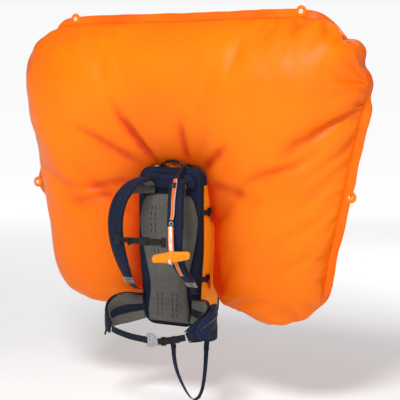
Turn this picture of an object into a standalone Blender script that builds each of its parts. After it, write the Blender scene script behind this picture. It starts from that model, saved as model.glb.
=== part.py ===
"""Avalanche airbag backpack with its airbag blown up, as separate named pieces.

Metres, +Z up. The origin is the centre of the back panel's face, the face that lies against
the wearer's back. -Y points at the wearer, +X is the wearer's left, and the airbag stands
behind and around the pack. Names end in _l or _r for the wearer's left and right.
"""

from math import atan2, copysign, cos, pi, radians, sin

import bmesh
import bpy
from mathutils import Matrix, Vector

# ---------------------------------------------------------------- driving dimensions
GAP = 0.0004                 # clearance between neighbouring pieces

PACK_TOP = 0.250             # half height of the pack
PACK_HALF_TOP = 0.111        # half width above the middle
PACK_HALF_BOTTOM = 0.095     # half width at the base
PACK_FRONT = 0.0155          # front wall of the bag, behind the back panel
PACK_REAR = 0.1640           # open rear rim of the bag
PACK_WALL = 0.0025
PACK_CORNER = 0.042

PANEL_THICK = 0.0150         # foam back panel
SHEET_Y = PACK_FRONT + PACK_WALL + GAP
SHEET_THICK = 0.0018

BAG_MID_Y = 0.100            # middle plane of the airbag, where its seam lies
BAG_HALF_THICK = 0.130
BAG_WALL = 0.0016
BAG_TOP = 0.703
NOTCH_GAP = 0.0035           # between the pack and the inner seam round it
FLANGE_WIDE = 0.028
FLANGE_THICK = 0.0016
EYELET_BORE = 0.0024

STRAP_THICK = 0.012
WEB_THICK = 0.0016
STERNUM_Z = 0.039
BELT_Z = -0.264              # height of the hip belt's webbing at the front
BELT_WEB = 0.020

NECK_R = 0.0360              # inflation neck
INFLATOR_X = 0.0
INFLATOR_Y = 0.080
CARTRIDGE_R = 0.0270
LEG_WEB = 0.015              # leg loop webbing width
SIDE_WEB = 0.016             # compression strap webbing width
SIDE_STRAP_HIGH = 0.112
SIDE_STRAP_LOW = -0.098
BUCKLE_X = 0.020             # middle of the hip belt's metal buckle
FLAP_PIVOT = (0.0, PACK_REAR, -PACK_TOP - 0.0006)
GRIP_AT = (0.104, -0.1600, -0.001)
GRIP_TURN = radians(14)
RING_Z = 0.098               # metal ring above the grip's stem
CABLE_R = 0.0030

BAG_STEPS = 2                # stations between the points of the airbag's outlines
BULGE = (0.0, 0.10, 0.25, 0.45, 0.65, 0.82, 0.93, 1.0)
BULGE_POWER = 0.62           # below 1 makes the airbag's section fuller than a sine
FOOT_SHARE = 0.55            # share of the outline after which the airbag thins towards its foot
FOOT_POWER = 0.6
FOOT_THICK = 0.006           # half thickness left at the foot
SEAM_INSET = 6               # skins apart at the seam, in wall thicknesses
EYELET_TOP = (0.375, BAG_TOP + 0.02)
EYELET_SIDE = (0.566, 0.150)

PANEL_SHAPE = (  # back panel: height and half width at a height, from the base up
    (-0.238, 0.070), (-0.200, 0.074), (-0.150, 0.067), (-0.110, 0.067), (-0.060, 0.078),
    (-0.010, 0.090), (0.040, 0.100), (0.085, 0.104), (0.120, 0.098), (0.150, 0.086), (0.166, 0.070),
)

STRAP_ROUTES = {  # from the yoke, over the shoulder, down to the ladder lock
    "l": ((0.057, -0.0075, 0.198), (0.062, -0.034, 0.216), (0.080, -0.078, 0.202), (0.095, -0.114, 0.162),
          (0.103, -0.131, 0.112), (0.104, -0.136, 0.060), (0.101, -0.127, 0.005), (0.105, -0.098, -0.050),
          (0.109, -0.052, -0.092)),
    "r": ((-0.054, -0.0075, 0.198), (-0.060, -0.034, 0.216), (-0.078, -0.080, 0.200), (-0.094, -0.118, 0.160),
          (-0.102, -0.135, 0.110), (-0.101, -0.139, 0.060), (-0.097, -0.131, 0.008), (-0.092, -0.112, -0.045),
          (-0.092, -0.086, -0.086)),
}
STRAP_WIDTHS = (0.050, 0.054, 0.058, 0.060, 0.060, 0.058, 0.054, 0.046, 0.034)

FIN_ROUTE = (  # wearer's left fin: from the pack's front face round the hip
    (0.083, 0.0072, -0.192), (0.110, -0.0020, -0.196), (0.143, -0.013, -0.201), (0.168, -0.040, -0.209),
    (0.173, -0.076, -0.221), (0.156, -0.104, -0.235), (0.134, -0.118, -0.246),
)
FIN_WIDTHS = (0.078, 0.090, 0.102, 0.098, 0.084, 0.062, 0.034)
FIN_THICK = 0.013
FIN_PIVOT = (0.080, 0.0072, -0.192)

# wearer's left leg loop: down from the belt, round, and up behind the pocket
LEG_ROUTE = (
    (0.0880, -0.1180, -0.2760), (0.0895, -0.1165, -0.3130), (0.0945, -0.1120, -0.3480),
    (0.1025, -0.1060, -0.3780), (0.1120, -0.0985, -0.4050), (0.1230, -0.0900, -0.4300),
    (0.1350, -0.0810, -0.4460), (0.1475, -0.0715, -0.4420), (0.1560, -0.0645, -0.4210),
    (0.1610, -0.0600, -0.3900), (0.1640, -0.0575, -0.3550), (0.1660, -0.0560, -0.3200),
    (0.1670, -0.0550, -0.2880),
)

OUTER_SHAPE = (  # right half of the outer seam, from the middle of the top to the foot of the arm
    (0.0, BAG_TOP), (0.20, BAG_TOP), (0.40, 0.700), (0.520, 0.664), (0.590, 0.575), (0.601, 0.460),
    (0.574, 0.320), (0.544, 0.180), (0.514, 0.040), (0.488, -0.070), (0.437, -0.155), (0.355, -0.200),
    (0.262, -0.207),
)


# ---------------------------------------------------------------- scene and materials
def clear_scene():
    for thing in list(bpy.data.objects):
        bpy.data.objects.remove(thing, do_unlink=True)


def material(name, color, roughness, metallic=0.0):
    mat = bpy.data.materials.get(name)
    if mat is None:
        mat = bpy.data.materials.new(name)
        mat.use_nodes = True
        shader = mat.node_tree.nodes["Principled BSDF"]
        shader.inputs["Base Color"].default_value = (*color, 1.0)
        shader.inputs["Roughness"].default_value = roughness
        shader.inputs["Metallic"].default_value = metallic
    return mat


MATERIALS = {
    "airbag_nylon": ((0.95, 0.27, 0.01), 0.45, 0.0),
    "orange_fabric": ((0.90, 0.22, 0.02), 0.70, 0.0),
    "navy_fabric": ((0.015, 0.022, 0.055), 0.80, 0.0),
    "grey_foam": ((0.16, 0.155, 0.145), 0.90, 0.0),
    "black_webbing": ((0.012, 0.012, 0.014), 0.75, 0.0),
    "orange_webbing": ((0.85, 0.16, 0.02), 0.65, 0.0),
    "black_plastic": ((0.015, 0.015, 0.016), 0.45, 0.0),
    "orange_plastic": ((0.90, 0.20, 0.02), 0.40, 0.0),
    "white_plastic": ((0.80, 0.80, 0.78), 0.40, 0.0),
    "frame_plastic": ((0.05, 0.05, 0.055), 0.50, 0.0),
    "aluminium": ((0.62, 0.63, 0.65), 0.35, 1.0),
    "brass": ((0.70, 0.50, 0.20), 0.30, 1.0),
    "cartridge_steel": ((0.55, 0.56, 0.58), 0.35, 1.0),
    "rubber": ((0.02, 0.02, 0.02), 0.80, 0.0),
}


def use_material(obj, slot):
    obj.data.materials.clear()
    obj.data.materials.append(material(slot, *MATERIALS[slot]))


# ---------------------------------------------------------------- mesh helpers
def finish_mesh(name, bm, slot, pivot=(0.0, 0.0, 0.0), sharp=35.0):
    """Make an object from bm, with its origin at pivot."""
    bmesh.ops.recalc_face_normals(bm, faces=bm.faces)
    bmesh.ops.translate(bm, verts=bm.verts, vec=-Vector(pivot))
    mesh = bpy.data.meshes.new(name)
    bm.to_mesh(mesh)
    bm.free()
    mesh.shade_smooth()
    mesh.set_sharp_from_angle(angle=radians(sharp))
    obj = bpy.data.objects.new(name, mesh)
    obj.location = pivot
    bpy.context.scene.collection.objects.link(obj)
    use_material(obj, slot)
    return obj


def skin_rings(bm, rings, caps=True):
    """Join closed rings of points in order, and close both ends."""
    loops = [[bm.verts.new(p) for p in ring] for ring in rings]
    count = len(loops[0])
    for a, b in zip(loops, loops[1:]):
        for i in range(count):
            j = (i + 1) % count
            bm.faces.new((a[i], a[j], b[j], b[i]))
    if caps:
        bm.faces.new(loops[0])
        bm.faces.new(list(reversed(loops[-1])))
    return loops


def loft(name, rings, slot, pivot=(0.0, 0.0, 0.0), sharp=35.0):
    bm = bmesh.new()
    skin_rings(bm, rings)
    return finish_mesh(name, bm, slot, pivot, sharp)


def block(name, low, high, slot, bevel=0.0, pivot=(0.0, 0.0, 0.0)):
    """A box from its low corner to its high corner, with rounded edges."""
    bm = bmesh.new()
    size = Vector(high) - Vector(low)
    centre = (Vector(high) + Vector(low)) / 2
    bmesh.ops.create_cube(bm, size=1.0, matrix=Matrix.Translation(centre) @ Matrix.Diagonal((*size, 1.0)))
    if bevel:
        bmesh.ops.bevel(bm, geom=bm.edges[:], offset=bevel, segments=2, profile=0.5, affect="EDGES")
    return finish_mesh(name, bm, slot, pivot)


def turned(name, profile, centre, axis, slot, segments=28, pivot=None):
    """Spin a closed profile of (radius, height) points round an axis through centre."""
    turn = Vector((0, 0, 1)).rotation_difference(Vector(axis)).to_matrix()
    rings = []
    for radius, height in profile:
        ring = []
        for i in range(segments):
            angle = 2 * pi * i / segments
            ring.append(Vector(centre) + turn @ Vector((radius * cos(angle), radius * sin(angle), height)))
        rings.append(ring)
    bm = bmesh.new()
    loops = [[bm.verts.new(p) for p in ring] for ring in rings]
    hollow = profile[0][0] > 0.0 and profile[0] == profile[-1]
    if hollow:
        bmesh.ops.delete(bm, geom=loops[-1], context="VERTS")
        loops[-1] = loops[0]
    for a, b in zip(loops, loops[1:]):
        for i in range(segments):
            j = (i + 1) % segments
            bm.faces.new((a[i], a[j], b[j], b[i]))
    if not hollow:
        bm.faces.new(loops[0])
        bm.faces.new(list(reversed(loops[-1])))
    return finish_mesh(name, bm, slot, pivot or centre)


def smooth_path(points, steps):
    """A smooth curve through the given points, with steps pieces between each pair."""
    pts = [Vector(p) for p in points]
    ends = [2 * pts[0] - pts[1]] + pts + [2 * pts[-1] - pts[-2]]
    path = []
    for a, b, c, d in zip(ends, ends[1:], ends[2:], ends[3:]):
        for k in range(steps):
            t = k / steps
            path.append(0.5 * (2 * b + (c - a) * t + (2 * a - 5 * b + 4 * c - d) * t * t
                               + (3 * b - a - 3 * c + d) * t ** 3))
    path.append(pts[-1])
    return path


def strap_rings(path, widths, thick, across, rounding=0.35):
    """Cross sections of a flat strap: across is the width direction before it is squared up."""
    rings = []
    for i, point in enumerate(path):
        tangent = (path[min(i + 1, len(path) - 1)] - path[max(i - 1, 0)]).normalized()
        side = Vector(across[i]) if isinstance(across, list) else Vector(across)
        side = (side - tangent * side.dot(tangent)).normalized()
        up = tangent.cross(side).normalized()
        half, deep = widths[i] / 2, thick / 2
        cut = thick * rounding
        corners = [(half - cut, -deep), (half, -deep + cut), (half, deep - cut), (half - cut, deep),
                   (cut - half, deep), (-half, deep - cut), (-half, cut - deep), (cut - half, -deep)]
        rings.append([point + side * a + up * b for a, b in corners])
    return rings


def strap(name, points, width, thick, across, slot, steps=4, pivot=(0.0, 0.0, 0.0), rounding=0.35):
    """A strap along a smooth path. width is one number or one for each given point."""
    path = smooth_path(points, steps)
    if isinstance(width, (list, tuple)):
        spans = len(width) - 1
        widths = []
        for i in range(len(path)):
            place = i / steps
            k = min(int(place), spans - 1)
            widths.append(width[k] + (width[k + 1] - width[k]) * (place - k))
    else:
        widths = [width] * len(path)
    return loft(name, strap_rings(path, widths, thick, across, rounding), slot, pivot)


def plate(name, outline, plane, low, high, slot, pivot=(0.0, 0.0, 0.0), bevel=0.0):
    """Extrude a flat outline. plane 'xz' extrudes along Y, 'xy' along Z and 'yz' along X."""
    place = {
        "xz": lambda a, b, h: (a, h, b),
        "xy": lambda a, b, h: (a, b, h),
        "yz": lambda a, b, h: (h, a, b),
    }[plane]
    bm = bmesh.new()
    if bevel:
        centre = sum((Vector(p) for p in outline), Vector((0.0, 0.0))) / len(outline)
        shrunk = [Vector(p) + (centre - Vector(p)).normalized() * bevel for p in outline]
        stack = [(shrunk, low), (outline, low + bevel), (outline, high - bevel), (shrunk, high)]
    else:
        stack = [(outline, low), (outline, high)]
    skin_rings(bm, [[place(a, b, h) for a, b in ring] for ring, h in stack])
    return finish_mesh(name, bm, slot, pivot)


def cutter(name, obj):
    obj.name = name
    obj.hide_render = True
    obj.display_type = "WIRE"
    return obj


def cut(target, tool, operation="DIFFERENCE"):
    mod = target.modifiers.new(tool.name, "BOOLEAN")
    mod.operation = operation
    mod.solver = "EXACT"
    mod.object = tool


def arc(centre, radius, start, end, steps):
    """Points on a circular arc in a plane, angles in degrees."""
    turns = [radians(start + (end - start) * i / steps) for i in range(steps + 1)]
    return [(centre[0] + radius * cos(a), centre[1] + radius * sin(a)) for a in turns]


# ---------------------------------------------------------------- the bag
def pack_half(z):
    """Half width of the pack at a height: straight above the middle, narrower to the base."""
    if z >= 0.0:
        return PACK_HALF_TOP
    return PACK_HALF_TOP + (PACK_HALF_BOTTOM - PACK_HALF_TOP) * (z / -PACK_TOP)


def pack_outline(grow, steps=5):
    """Outline of the pack in X and Z, grown by grow, with round corners."""
    top, bottom = PACK_TOP + grow, -PACK_TOP - grow
    radius = PACK_CORNER + grow
    upper = PACK_HALF_TOP + grow - radius
    lower = PACK_HALF_BOTTOM + grow - radius
    points = arc((upper, top - radius), radius, 0, 90, steps)
    points += arc((-upper, top - radius), radius, 90, 180, steps)
    points.append((-PACK_HALF_TOP - grow, 0.0))
    points += arc((-lower, bottom + radius), radius, 180, 270, steps)
    points += arc((lower, bottom + radius), radius, 270, 360, steps)
    points.append((PACK_HALF_TOP + grow, 0.0))
    return points


def ring_at(outline, y):
    return [(x, y, z) for x, z in outline]


def make_pack_shell():
    inset = 0.008
    rings = [
        ring_at(pack_outline(-inset), PACK_FRONT),
        ring_at(pack_outline(-inset * 0.3), PACK_FRONT + inset * 0.35),
        ring_at(pack_outline(0.0), PACK_FRONT + inset),
        ring_at(pack_outline(0.0), PACK_REAR),
        ring_at(pack_outline(-PACK_WALL), PACK_REAR),
        ring_at(pack_outline(-PACK_WALL), PACK_FRONT + inset + PACK_WALL),
        ring_at(pack_outline(-inset - PACK_WALL), PACK_FRONT + PACK_WALL),
    ]
    shell = loft("pack_shell", rings, "navy_fabric")
    mouth = block("burst_opening", (-0.062, 0.0390, 0.230), (0.062, 0.1220, 0.270), "navy_fabric")
    cut(shell, cutter("burst_opening", mouth))


def make_main_flap():
    """Rear panel that swings down on its lower edge."""
    rings = [
        ring_at(pack_outline(-0.0030), PACK_REAR + GAP),
        ring_at(pack_outline(0.0), PACK_REAR + 0.003),
        ring_at(pack_outline(-0.001), PACK_REAR + 0.007),
        ring_at(pack_outline(-0.016), PACK_REAR + 0.0105),
    ]
    loft("main_flap", rings, "navy_fabric", pivot=FLAP_PIVOT)


def side_band(name, sign, y_low, y_high, z_low, z_high, lift, thick, slot):
    """A thin band on the side wall of the pack between two heights."""
    heights = [z_low, z_high] if z_low * z_high >= 0 else [z_low, 0.0, z_high]
    rings = []
    for z in heights:
        near = sign * (pack_half(z) + lift)
        far = sign * (pack_half(z) + lift + thick)
        rings.append([(near, y_low, z), (far, y_low, z), (far, y_high, z), (near, y_high, z)])
    return loft(name, rings, slot)


def make_sides(sign, tag):
    side_band("side_panel_" + tag, sign, 0.030, 0.150, -0.195, 0.195, GAP, 0.0016, "orange_fabric")
    lift = GAP * 2 + 0.0016
    for word, z in (("upper", SIDE_STRAP_HIGH), ("lower", SIDE_STRAP_LOW)):
        side_band(f"side_strap_{word}_{tag}", sign, 0.034, 0.080, z - SIDE_WEB / 2, z + SIDE_WEB / 2,
                  lift, WEB_THICK, "black_webbing")
        face = pack_half(z) + lift + WEB_THICK + GAP * 2
        ladder_frame(f"side_buckle_{word}_{tag}", (sign * (face + 0.002), 0.060, z), 0.022, 0.026, 0.004,
                     "black_plastic", sign)


def ladder_frame(name, centre, long, wide, thick, slot, sign):
    """A flat buckle with two slots, lying on the side of the pack."""
    cx, cy, cz = centre
    outline = rounded_rect(cy, cz, long, wide, 0.004)
    body = plate(name, outline, "yz", cx - thick / 2, cx + thick / 2, slot)
    for k in (-1, 1):
        hole = block(name + "_slot", (cx - thick, cy + k * 0.0052 - 0.0022, cz - wide * 0.32),
                     (cx + thick, cy + k * 0.0052 + 0.0022, cz + wide * 0.32), slot)
        cut(body, cutter(f"{name}_slot{k}", hole))


def rounded_rect(ca, cb, long, wide, radius, steps=3):
    a, b = long / 2 - radius, wide / 2 - radius
    points = []
    for sa, sb, start in ((1, 1, 0), (-1, 1, 90), (-1, -1, 180), (1, -1, 270)):
        points += arc((ca + sa * a, cb + sb * b), radius, start, start + 90, steps)
    return points


# ---------------------------------------------------------------- back panel and frame


def make_back_panel():
    right = [(w, z) for z, w in PANEL_SHAPE]
    left = [(-w, z) for z, w in reversed(PANEL_SHAPE)]
    plate("back_panel", right + left, "xz", 0.0, PANEL_THICK, "grey_foam", bevel=0.004)


def make_yoke():
    outline = arc((0.062, 0.196), 0.036, -20, 90, 5) + arc((-0.062, 0.196), 0.036, 90, 200, 5)
    plate("yoke_panel", outline, "xz", 0.0006, PANEL_THICK, "navy_fabric", bevel=0.003)


def make_frame():
    sheet = pack_outline(-0.020, 3)
    plate("frame_sheet", sheet, "xz", SHEET_Y, SHEET_Y + SHEET_THICK, "frame_plastic")


def tube(name, points, radius, slot, sides=2):
    """A round rod along a list of points, as a curve with filled caps."""
    curve = bpy.data.curves.new(name, "CURVE")
    curve.dimensions = "3D"
    curve.bevel_depth = radius
    curve.bevel_resolution = sides
    curve.use_fill_caps = True
    spline = curve.splines.new("POLY")
    spline.points.add(len(points) - 1)
    for knot, point in zip(spline.points, points):
        knot.co = (*point, 1.0)
    obj = bpy.data.objects.new(name, curve)
    bpy.context.scene.collection.objects.link(obj)
    use_material(obj, slot)
    return obj


# ---------------------------------------------------------------- shoulder harness


def make_shoulder_strap(tag):
    strap("shoulder_strap_" + tag, STRAP_ROUTES[tag], STRAP_WIDTHS, STRAP_THICK, (1, 0, 0),
          "navy_fabric", steps=3)


def make_strap_hardware(tag):
    """Ladder lock at the strap's lower end, and the webbing from it to the pack's front edge."""
    end, before = Vector(STRAP_ROUTES[tag][-1]), Vector(STRAP_ROUTES[tag][-2])
    along = (end - before).normalized()
    pivot = end + along * 0.0040
    hang = -0.0095                       # from the pivot down to the middle of the frame
    outline = rounded_rect(0.0, hang, 0.034, 0.024, 0.004)
    bm = bmesh.new()
    skin_rings(bm, [[(a, h, b) for a, b in outline] for h in (-0.0022, 0.0022)])
    lock = finish_mesh("ladder_lock_" + tag, bm, "aluminium")
    for k in (-1, 1):
        hole = block("lock_slot", (-0.011, -0.006, hang + k * 0.0050 - 0.0023),
                     (0.011, 0.006, hang + k * 0.0050 + 0.0023), "aluminium")
        hole = cutter(f"lock_slot_{tag}{k}", hole)
        hole.parent = lock
        cut(lock, hole)
    lock.rotation_euler = (atan2(along.y, -along.z), 0.0, 0.0)
    lock.location = pivot
    start = end + along * 0.0310
    foot = Vector((copysign(0.090, end.x), 0.0125, start.z - 0.028))
    middle = start.lerp(foot, 0.5) + Vector((0.0, 0.0, -0.010))
    strap("strap_webbing_" + tag, [tuple(start), tuple(middle), tuple(foot)], 0.020, WEB_THICK, (1, 0, 0),
          "black_webbing", steps=4)


def make_haul_loop():
    """Webbing hand loop that stands on the top of the pack."""
    y = 0.0305
    route = [(-0.048, y, PACK_TOP + 0.0013), (-0.040, y, PACK_TOP + 0.0040), (-0.024, y, PACK_TOP + 0.0150),
             (0.0, y, PACK_TOP + 0.0185), (0.024, y, PACK_TOP + 0.0150), (0.040, y, PACK_TOP + 0.0040),
             (0.048, y, PACK_TOP + 0.0013)]
    strap("haul_loop", route, 0.014, 0.0018, (0, 1, 0), "black_webbing", steps=2, rounding=0.3)


def front_of_straps(low, high):
    """Y of the foremost point of the shoulder straps' outer faces between two heights."""
    run = [p for route in STRAP_ROUTES.values() for p in smooth_path(route[3:], 8) if low <= p.z <= high]
    return min(p.y for p in run) - STRAP_THICK / 2


def make_sternum_strap():
    y = front_of_straps(STERNUM_Z - 0.035, STERNUM_Z + 0.050) - 0.0032
    for x, tag in ((0.072, "l"), (-0.088, "r")):
        block("sternum_slider_" + tag, (x - 0.008, y - 0.0022, STERNUM_Z - 0.015),
              (x + 0.008, y + 0.0022, STERNUM_Z + 0.015), "black_plastic", bevel=0.0012)
    block("sternum_webbing_r", (-0.0795, y - 0.0008, STERNUM_Z - 0.008),
          (-0.0125, y + 0.0008, STERNUM_Z + 0.008), "black_webbing")
    make_side_release(y)


def make_side_release(y):
    """Side release buckle: a hollow female half, and a male half with two prongs inside it."""
    half_z, deep, left = 0.0125, 0.0052, -0.0120
    female = block("sternum_buckle_female", (left, y - deep, STERNUM_Z - half_z),
                   (left + 0.034, y + deep, STERNUM_Z + half_z), "black_plastic", bevel=0.0022)
    pocket = block("buckle_pocket", (left + 0.009, y - deep + 0.0016, STERNUM_Z - half_z + 0.0022),
                   (left + 0.045, y + deep - 0.0016, STERNUM_Z + half_z - 0.0022), "black_plastic")
    cut(female, cutter("buckle_pocket", pocket))
    side = [(0.0750, 0.0080), (0.0600, 0.0100), (0.0350, 0.0100), (0.0340, 0.0088), (0.0130, 0.0088),
            (0.0115, 0.0055), (0.0305, 0.0040)]
    outline = side + [(x, -z) for x, z in reversed(side)]
    outline = [(left + x, STERNUM_Z + z) for x, z in outline]
    plate("sternum_buckle_male", outline, "xz", y - 0.0028, y + 0.0028, "black_plastic")


# ---------------------------------------------------------------- hip belt


def make_fin(sign, tag):
    route = [(sign * x, y, z) for x, y, z in FIN_ROUTE]
    strap("hip_fin_" + tag, route, FIN_WIDTHS, FIN_THICK, (0, 0, 1), "navy_fabric", steps=3,
          pivot=(sign * FIN_PIVOT[0], *FIN_PIVOT[1:]))


def make_hip_pocket():
    """Zipped pocket on the outside of the wearer's left fin."""
    thick = 0.016
    lift = FIN_THICK / 2 + thick / 2 + 0.0030
    fin = smooth_path(FIN_ROUTE, 3)
    first, last = 4, len(fin) - 4
    route, widths = [], []
    for i in range(first, last + 1):
        tangent = (fin[i + 1] - fin[i - 1]).normalized()
        upward = Vector((0, 0, 1)) - tangent * tangent.z
        outward = upward.cross(tangent).normalized()
        route.append(tuple(fin[i] + outward * lift))
        widths.append(0.062 + 0.052 * sin(pi * (i - first) / (last - first)) ** 0.6)
    strap("hip_pocket_l", route, widths, thick, (0, 0, 1), "navy_fabric", steps=1)


def make_belt_webbing():
    """Front webbing of the hip belt, with the metal buckle between its halves."""
    right = [(-0.1305, -0.1200, -0.2475), (-0.100, -0.129, -0.253), (-0.050, -0.137, -0.260),
             (BUCKLE_X - 0.0180, -0.138, BELT_Z)]
    left = [(0.1305, -0.1205, -0.2475), (0.105, -0.132, -0.253), (0.075, -0.140, -0.259),
            (BUCKLE_X + 0.0310, -0.1440, BELT_Z)]
    strap("belt_webbing_r", right, BELT_WEB, WEB_THICK, (0, 0, 1), "black_webbing", steps=3)
    strap("belt_webbing_l", left, BELT_WEB, WEB_THICK, (0, 0, 1), "black_webbing", steps=3)


def make_belt_buckle():
    """Slotted metal plate on the right webbing, and the metal hook of the left one in front of it."""
    y = -0.1375
    outline = rounded_rect(BUCKLE_X, BELT_Z, 0.032, 0.042, 0.006, 4)
    body = plate("belt_buckle_plate", outline, "xz", y - 0.0016, y + 0.0016, "aluminium", bevel=0.0005)
    for name, low, high in (("hook_slot", 0.0005, 0.0095), ("web_slot", -0.0125, -0.0080)):
        hole = block(name, (BUCKLE_X + low, y - 0.01, BELT_Z - 0.0115),
                     (BUCKLE_X + high, y + 0.01, BELT_Z + 0.0115), "aluminium")
        cut(body, cutter(name, hole))
    side = [(0.0285, 0.0130), (0.0165, 0.0130), (0.0145, 0.0085), (0.0080, 0.0070)]
    hook = side + [(x, -z) for x, z in reversed(side)]
    plate("belt_buckle_hook", [(BUCKLE_X + a, BELT_Z + b) for a, b in hook], "xz", y - 0.0082, y - 0.0052,
          "aluminium", bevel=0.0005)


def make_leg_loop():
    """Crotch strap: one free hanging loop of flat webbing, held here as a round tube of its width."""
    path = smooth_path(LEG_ROUTE, 2)
    tube("leg_loop", [tuple(p) for p in path], LEG_WEB / 2, "black_webbing")


# ---------------------------------------------------------------- trigger


def make_trigger():
    """T grip on a webbing stem below a metal ring, in front of the left shoulder strap."""
    turn = Matrix.Translation(GRIP_AT) @ Matrix.Rotation(GRIP_TURN, 4, "Z")
    bm = bmesh.new()
    rings = []
    for a, high, deep in ((-0.058, 0.0060, 0.0045), (-0.052, 0.0120, 0.0070), (-0.020, 0.0155, 0.0080),
                          (0.0, 0.0170, 0.0082), (0.020, 0.0155, 0.0080), (0.052, 0.0120, 0.0070),
                          (0.058, 0.0060, 0.0045)):
        rings.append([turn @ Vector((a, deep * cos(t), 0.13 * a + high * sin(t)))
                      for t in (2 * pi * i / 12 for i in range(12))])
    skin_rings(bm, rings)
    finish_mesh("trigger_grip", bm, "orange_plastic", GRIP_AT)
    x, y, _ = GRIP_AT
    block("trigger_stem", (x - 0.009, y - 0.0010, 0.0175), (x + 0.009, y + 0.0010, 0.0890), "orange_webbing",
          pivot=GRIP_AT)
    turned("trigger_ring", [(0.0040, -0.0012), (0.0075, -0.0012), (0.0075, 0.0012), (0.0040, 0.0012),
                            (0.0040, -0.0012)], (x - 0.002, y + 0.006, RING_Z), (0, 1, 0), "aluminium", 20)


def make_trigger_cable():
    """Cable in its sleeve: from the lever, out of the pack's top and down the strap to the ring."""
    route = [(0.0480, 0.080, 0.1460), (0.0500, 0.079, 0.1660), (0.0510, 0.076, 0.2000),
             (0.0520, 0.066, 0.2380), (0.0530, 0.046, 0.2575), (0.0555, 0.012, 0.2570),
             (0.0590, -0.030, 0.2360), (0.0770, -0.084, 0.2150), (0.0930, -0.125, 0.1720),
             (0.1015, -0.1445, 0.1300), (0.1020, -0.1530, 0.1090)]
    tube("trigger_cable", [tuple(p) for p in smooth_path(route, 3)], CABLE_R, "orange_webbing")


# ---------------------------------------------------------------- inflation unit
def make_inflator():
    """Intake housing with its two valve flaps, the firing head below it and the gas cartridge."""
    x, y = INFLATOR_X, INFLATOR_Y
    base = 0.1365
    housing = turned("inflator_housing", [(0.0350, 0.004), (0.0350, 0.084), (0.0380, 0.084), (0.0380, 0.0),
                                          (0.0070, 0.0), (0.0070, 0.004), (0.0350, 0.004)],
                     (x, y, base), (0, 0, 1), "black_plastic", 32)
    for k in range(4):
        a = radians(45 + 90 * k)
        place = (x + 0.0215 * cos(a), y + 0.0215 * sin(a), base + 0.002)
        hole = turned("intake_hole", [(0.0105, -0.01), (0.0105, 0.01)], place, (0, 0, 1), "black_plastic", 16)
        cut(housing, cutter(f"intake_hole_{k}", hole))
    hinge = base + 0.0075
    bar = block("valve_bar", (x - 0.0012, y - 0.0360, hinge - 0.0012),
                (x + 0.0012, y + 0.0360, hinge + 0.0012), "black_plastic")
    cut(housing, cutter("valve_bar", bar), "UNION")
    for sign, tag in ((1, "a"), (-1, "b")):
        half = arc((sign * 0.0022, 0.0), 0.0312, -90, 90, 10)
        outline = [(x + sign * abs(a - sign * 0.0022) + sign * 0.0022, y + b) for a, b in half]
        plate("valve_flap_" + tag, outline, "xy", hinge - 0.0007, hinge + 0.0007, "rubber",
              pivot=(x + sign * 0.0022, y, hinge))
    wall = [(0.0348, 0.0), (0.0348, 0.0310), (NECK_R, 0.0310), (NECK_R, 0.0), (0.0348, 0.0)]
    turned("inflation_neck", wall, (x, y, base + 0.0844), (0, 0, 1), "airbag_nylon", 32)
    turned("neck_clamp", [(NECK_R + GAP, 0.0), (NECK_R + GAP, 0.010), (NECK_R + 0.0022, 0.010),
                          (NECK_R + 0.0022, 0.0), (NECK_R + GAP, 0.0)],
           (x, y, base + 0.0880), (0, 0, 1), "aluminium", 32)
    make_firing_head(x, y)
    make_cartridge(x, y)


def make_firing_head(x, y):
    """Head that the cartridge screws into, with the pin and the lever that drives it."""
    head = turned("firing_head", [(0.0032, 0.0155), (0.0032, 0.0180), (0.0190, 0.0180), (0.0190, 0.0),
                                  (0.0125, 0.0), (0.0125, 0.0155), (0.0032, 0.0155)],
                  (x, y, 0.090), (0, 0, 1), "brass", 24)
    pin = [(0.0024, 0.1020), (0.0024, 0.1120), (0.0045, 0.1120), (0.0045, 0.1140)]
    turned("firing_pin", [(r, z - 0.1140) for r, z in pin], (x, y, 0.1140), (0, 0, 1), "aluminium", 16)
    pivot = (x + 0.0120, y, 0.1190)
    outline = [(-0.0125, -0.0040), (0.0040, -0.0040), (0.0370, 0.0000), (0.0370, 0.0060), (0.0, 0.0045),
               (-0.0060, 0.0030)]
    outline = [(pivot[0] + a, pivot[2] + b) for a, b in outline]
    lever = plate("firing_lever", outline, "xz", y - 0.0030, y + 0.0030, "aluminium", pivot=pivot)
    bore = turned("lever_bore", [(0.0018, -0.02), (0.0018, 0.02)], pivot, (0, 1, 0), "aluminium", 16)
    cut(lever, cutter("lever_bore", bore))
    turned("lever_pin", [(0.0015, -0.0085), (0.0015, 0.0085)], pivot, (0, 1, 0), "aluminium", 14)
    for side, tag in ((-1, "front"), (1, "rear")):
        low = y + side * 0.0062 - 0.0018
        cheek = block("lever_cheek", (x + 0.0060, low, 0.1070), (x + 0.0150, low + 0.0036, 0.1240), "brass")
        cut(head, cutter("lever_cheek_" + tag, cheek), "UNION")
    hole = turned("cheek_bore", [(0.0018, -0.02), (0.0018, 0.02)], pivot, (0, 1, 0), "brass", 14)
    cut(head, cutter("cheek_bore", hole))


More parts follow.
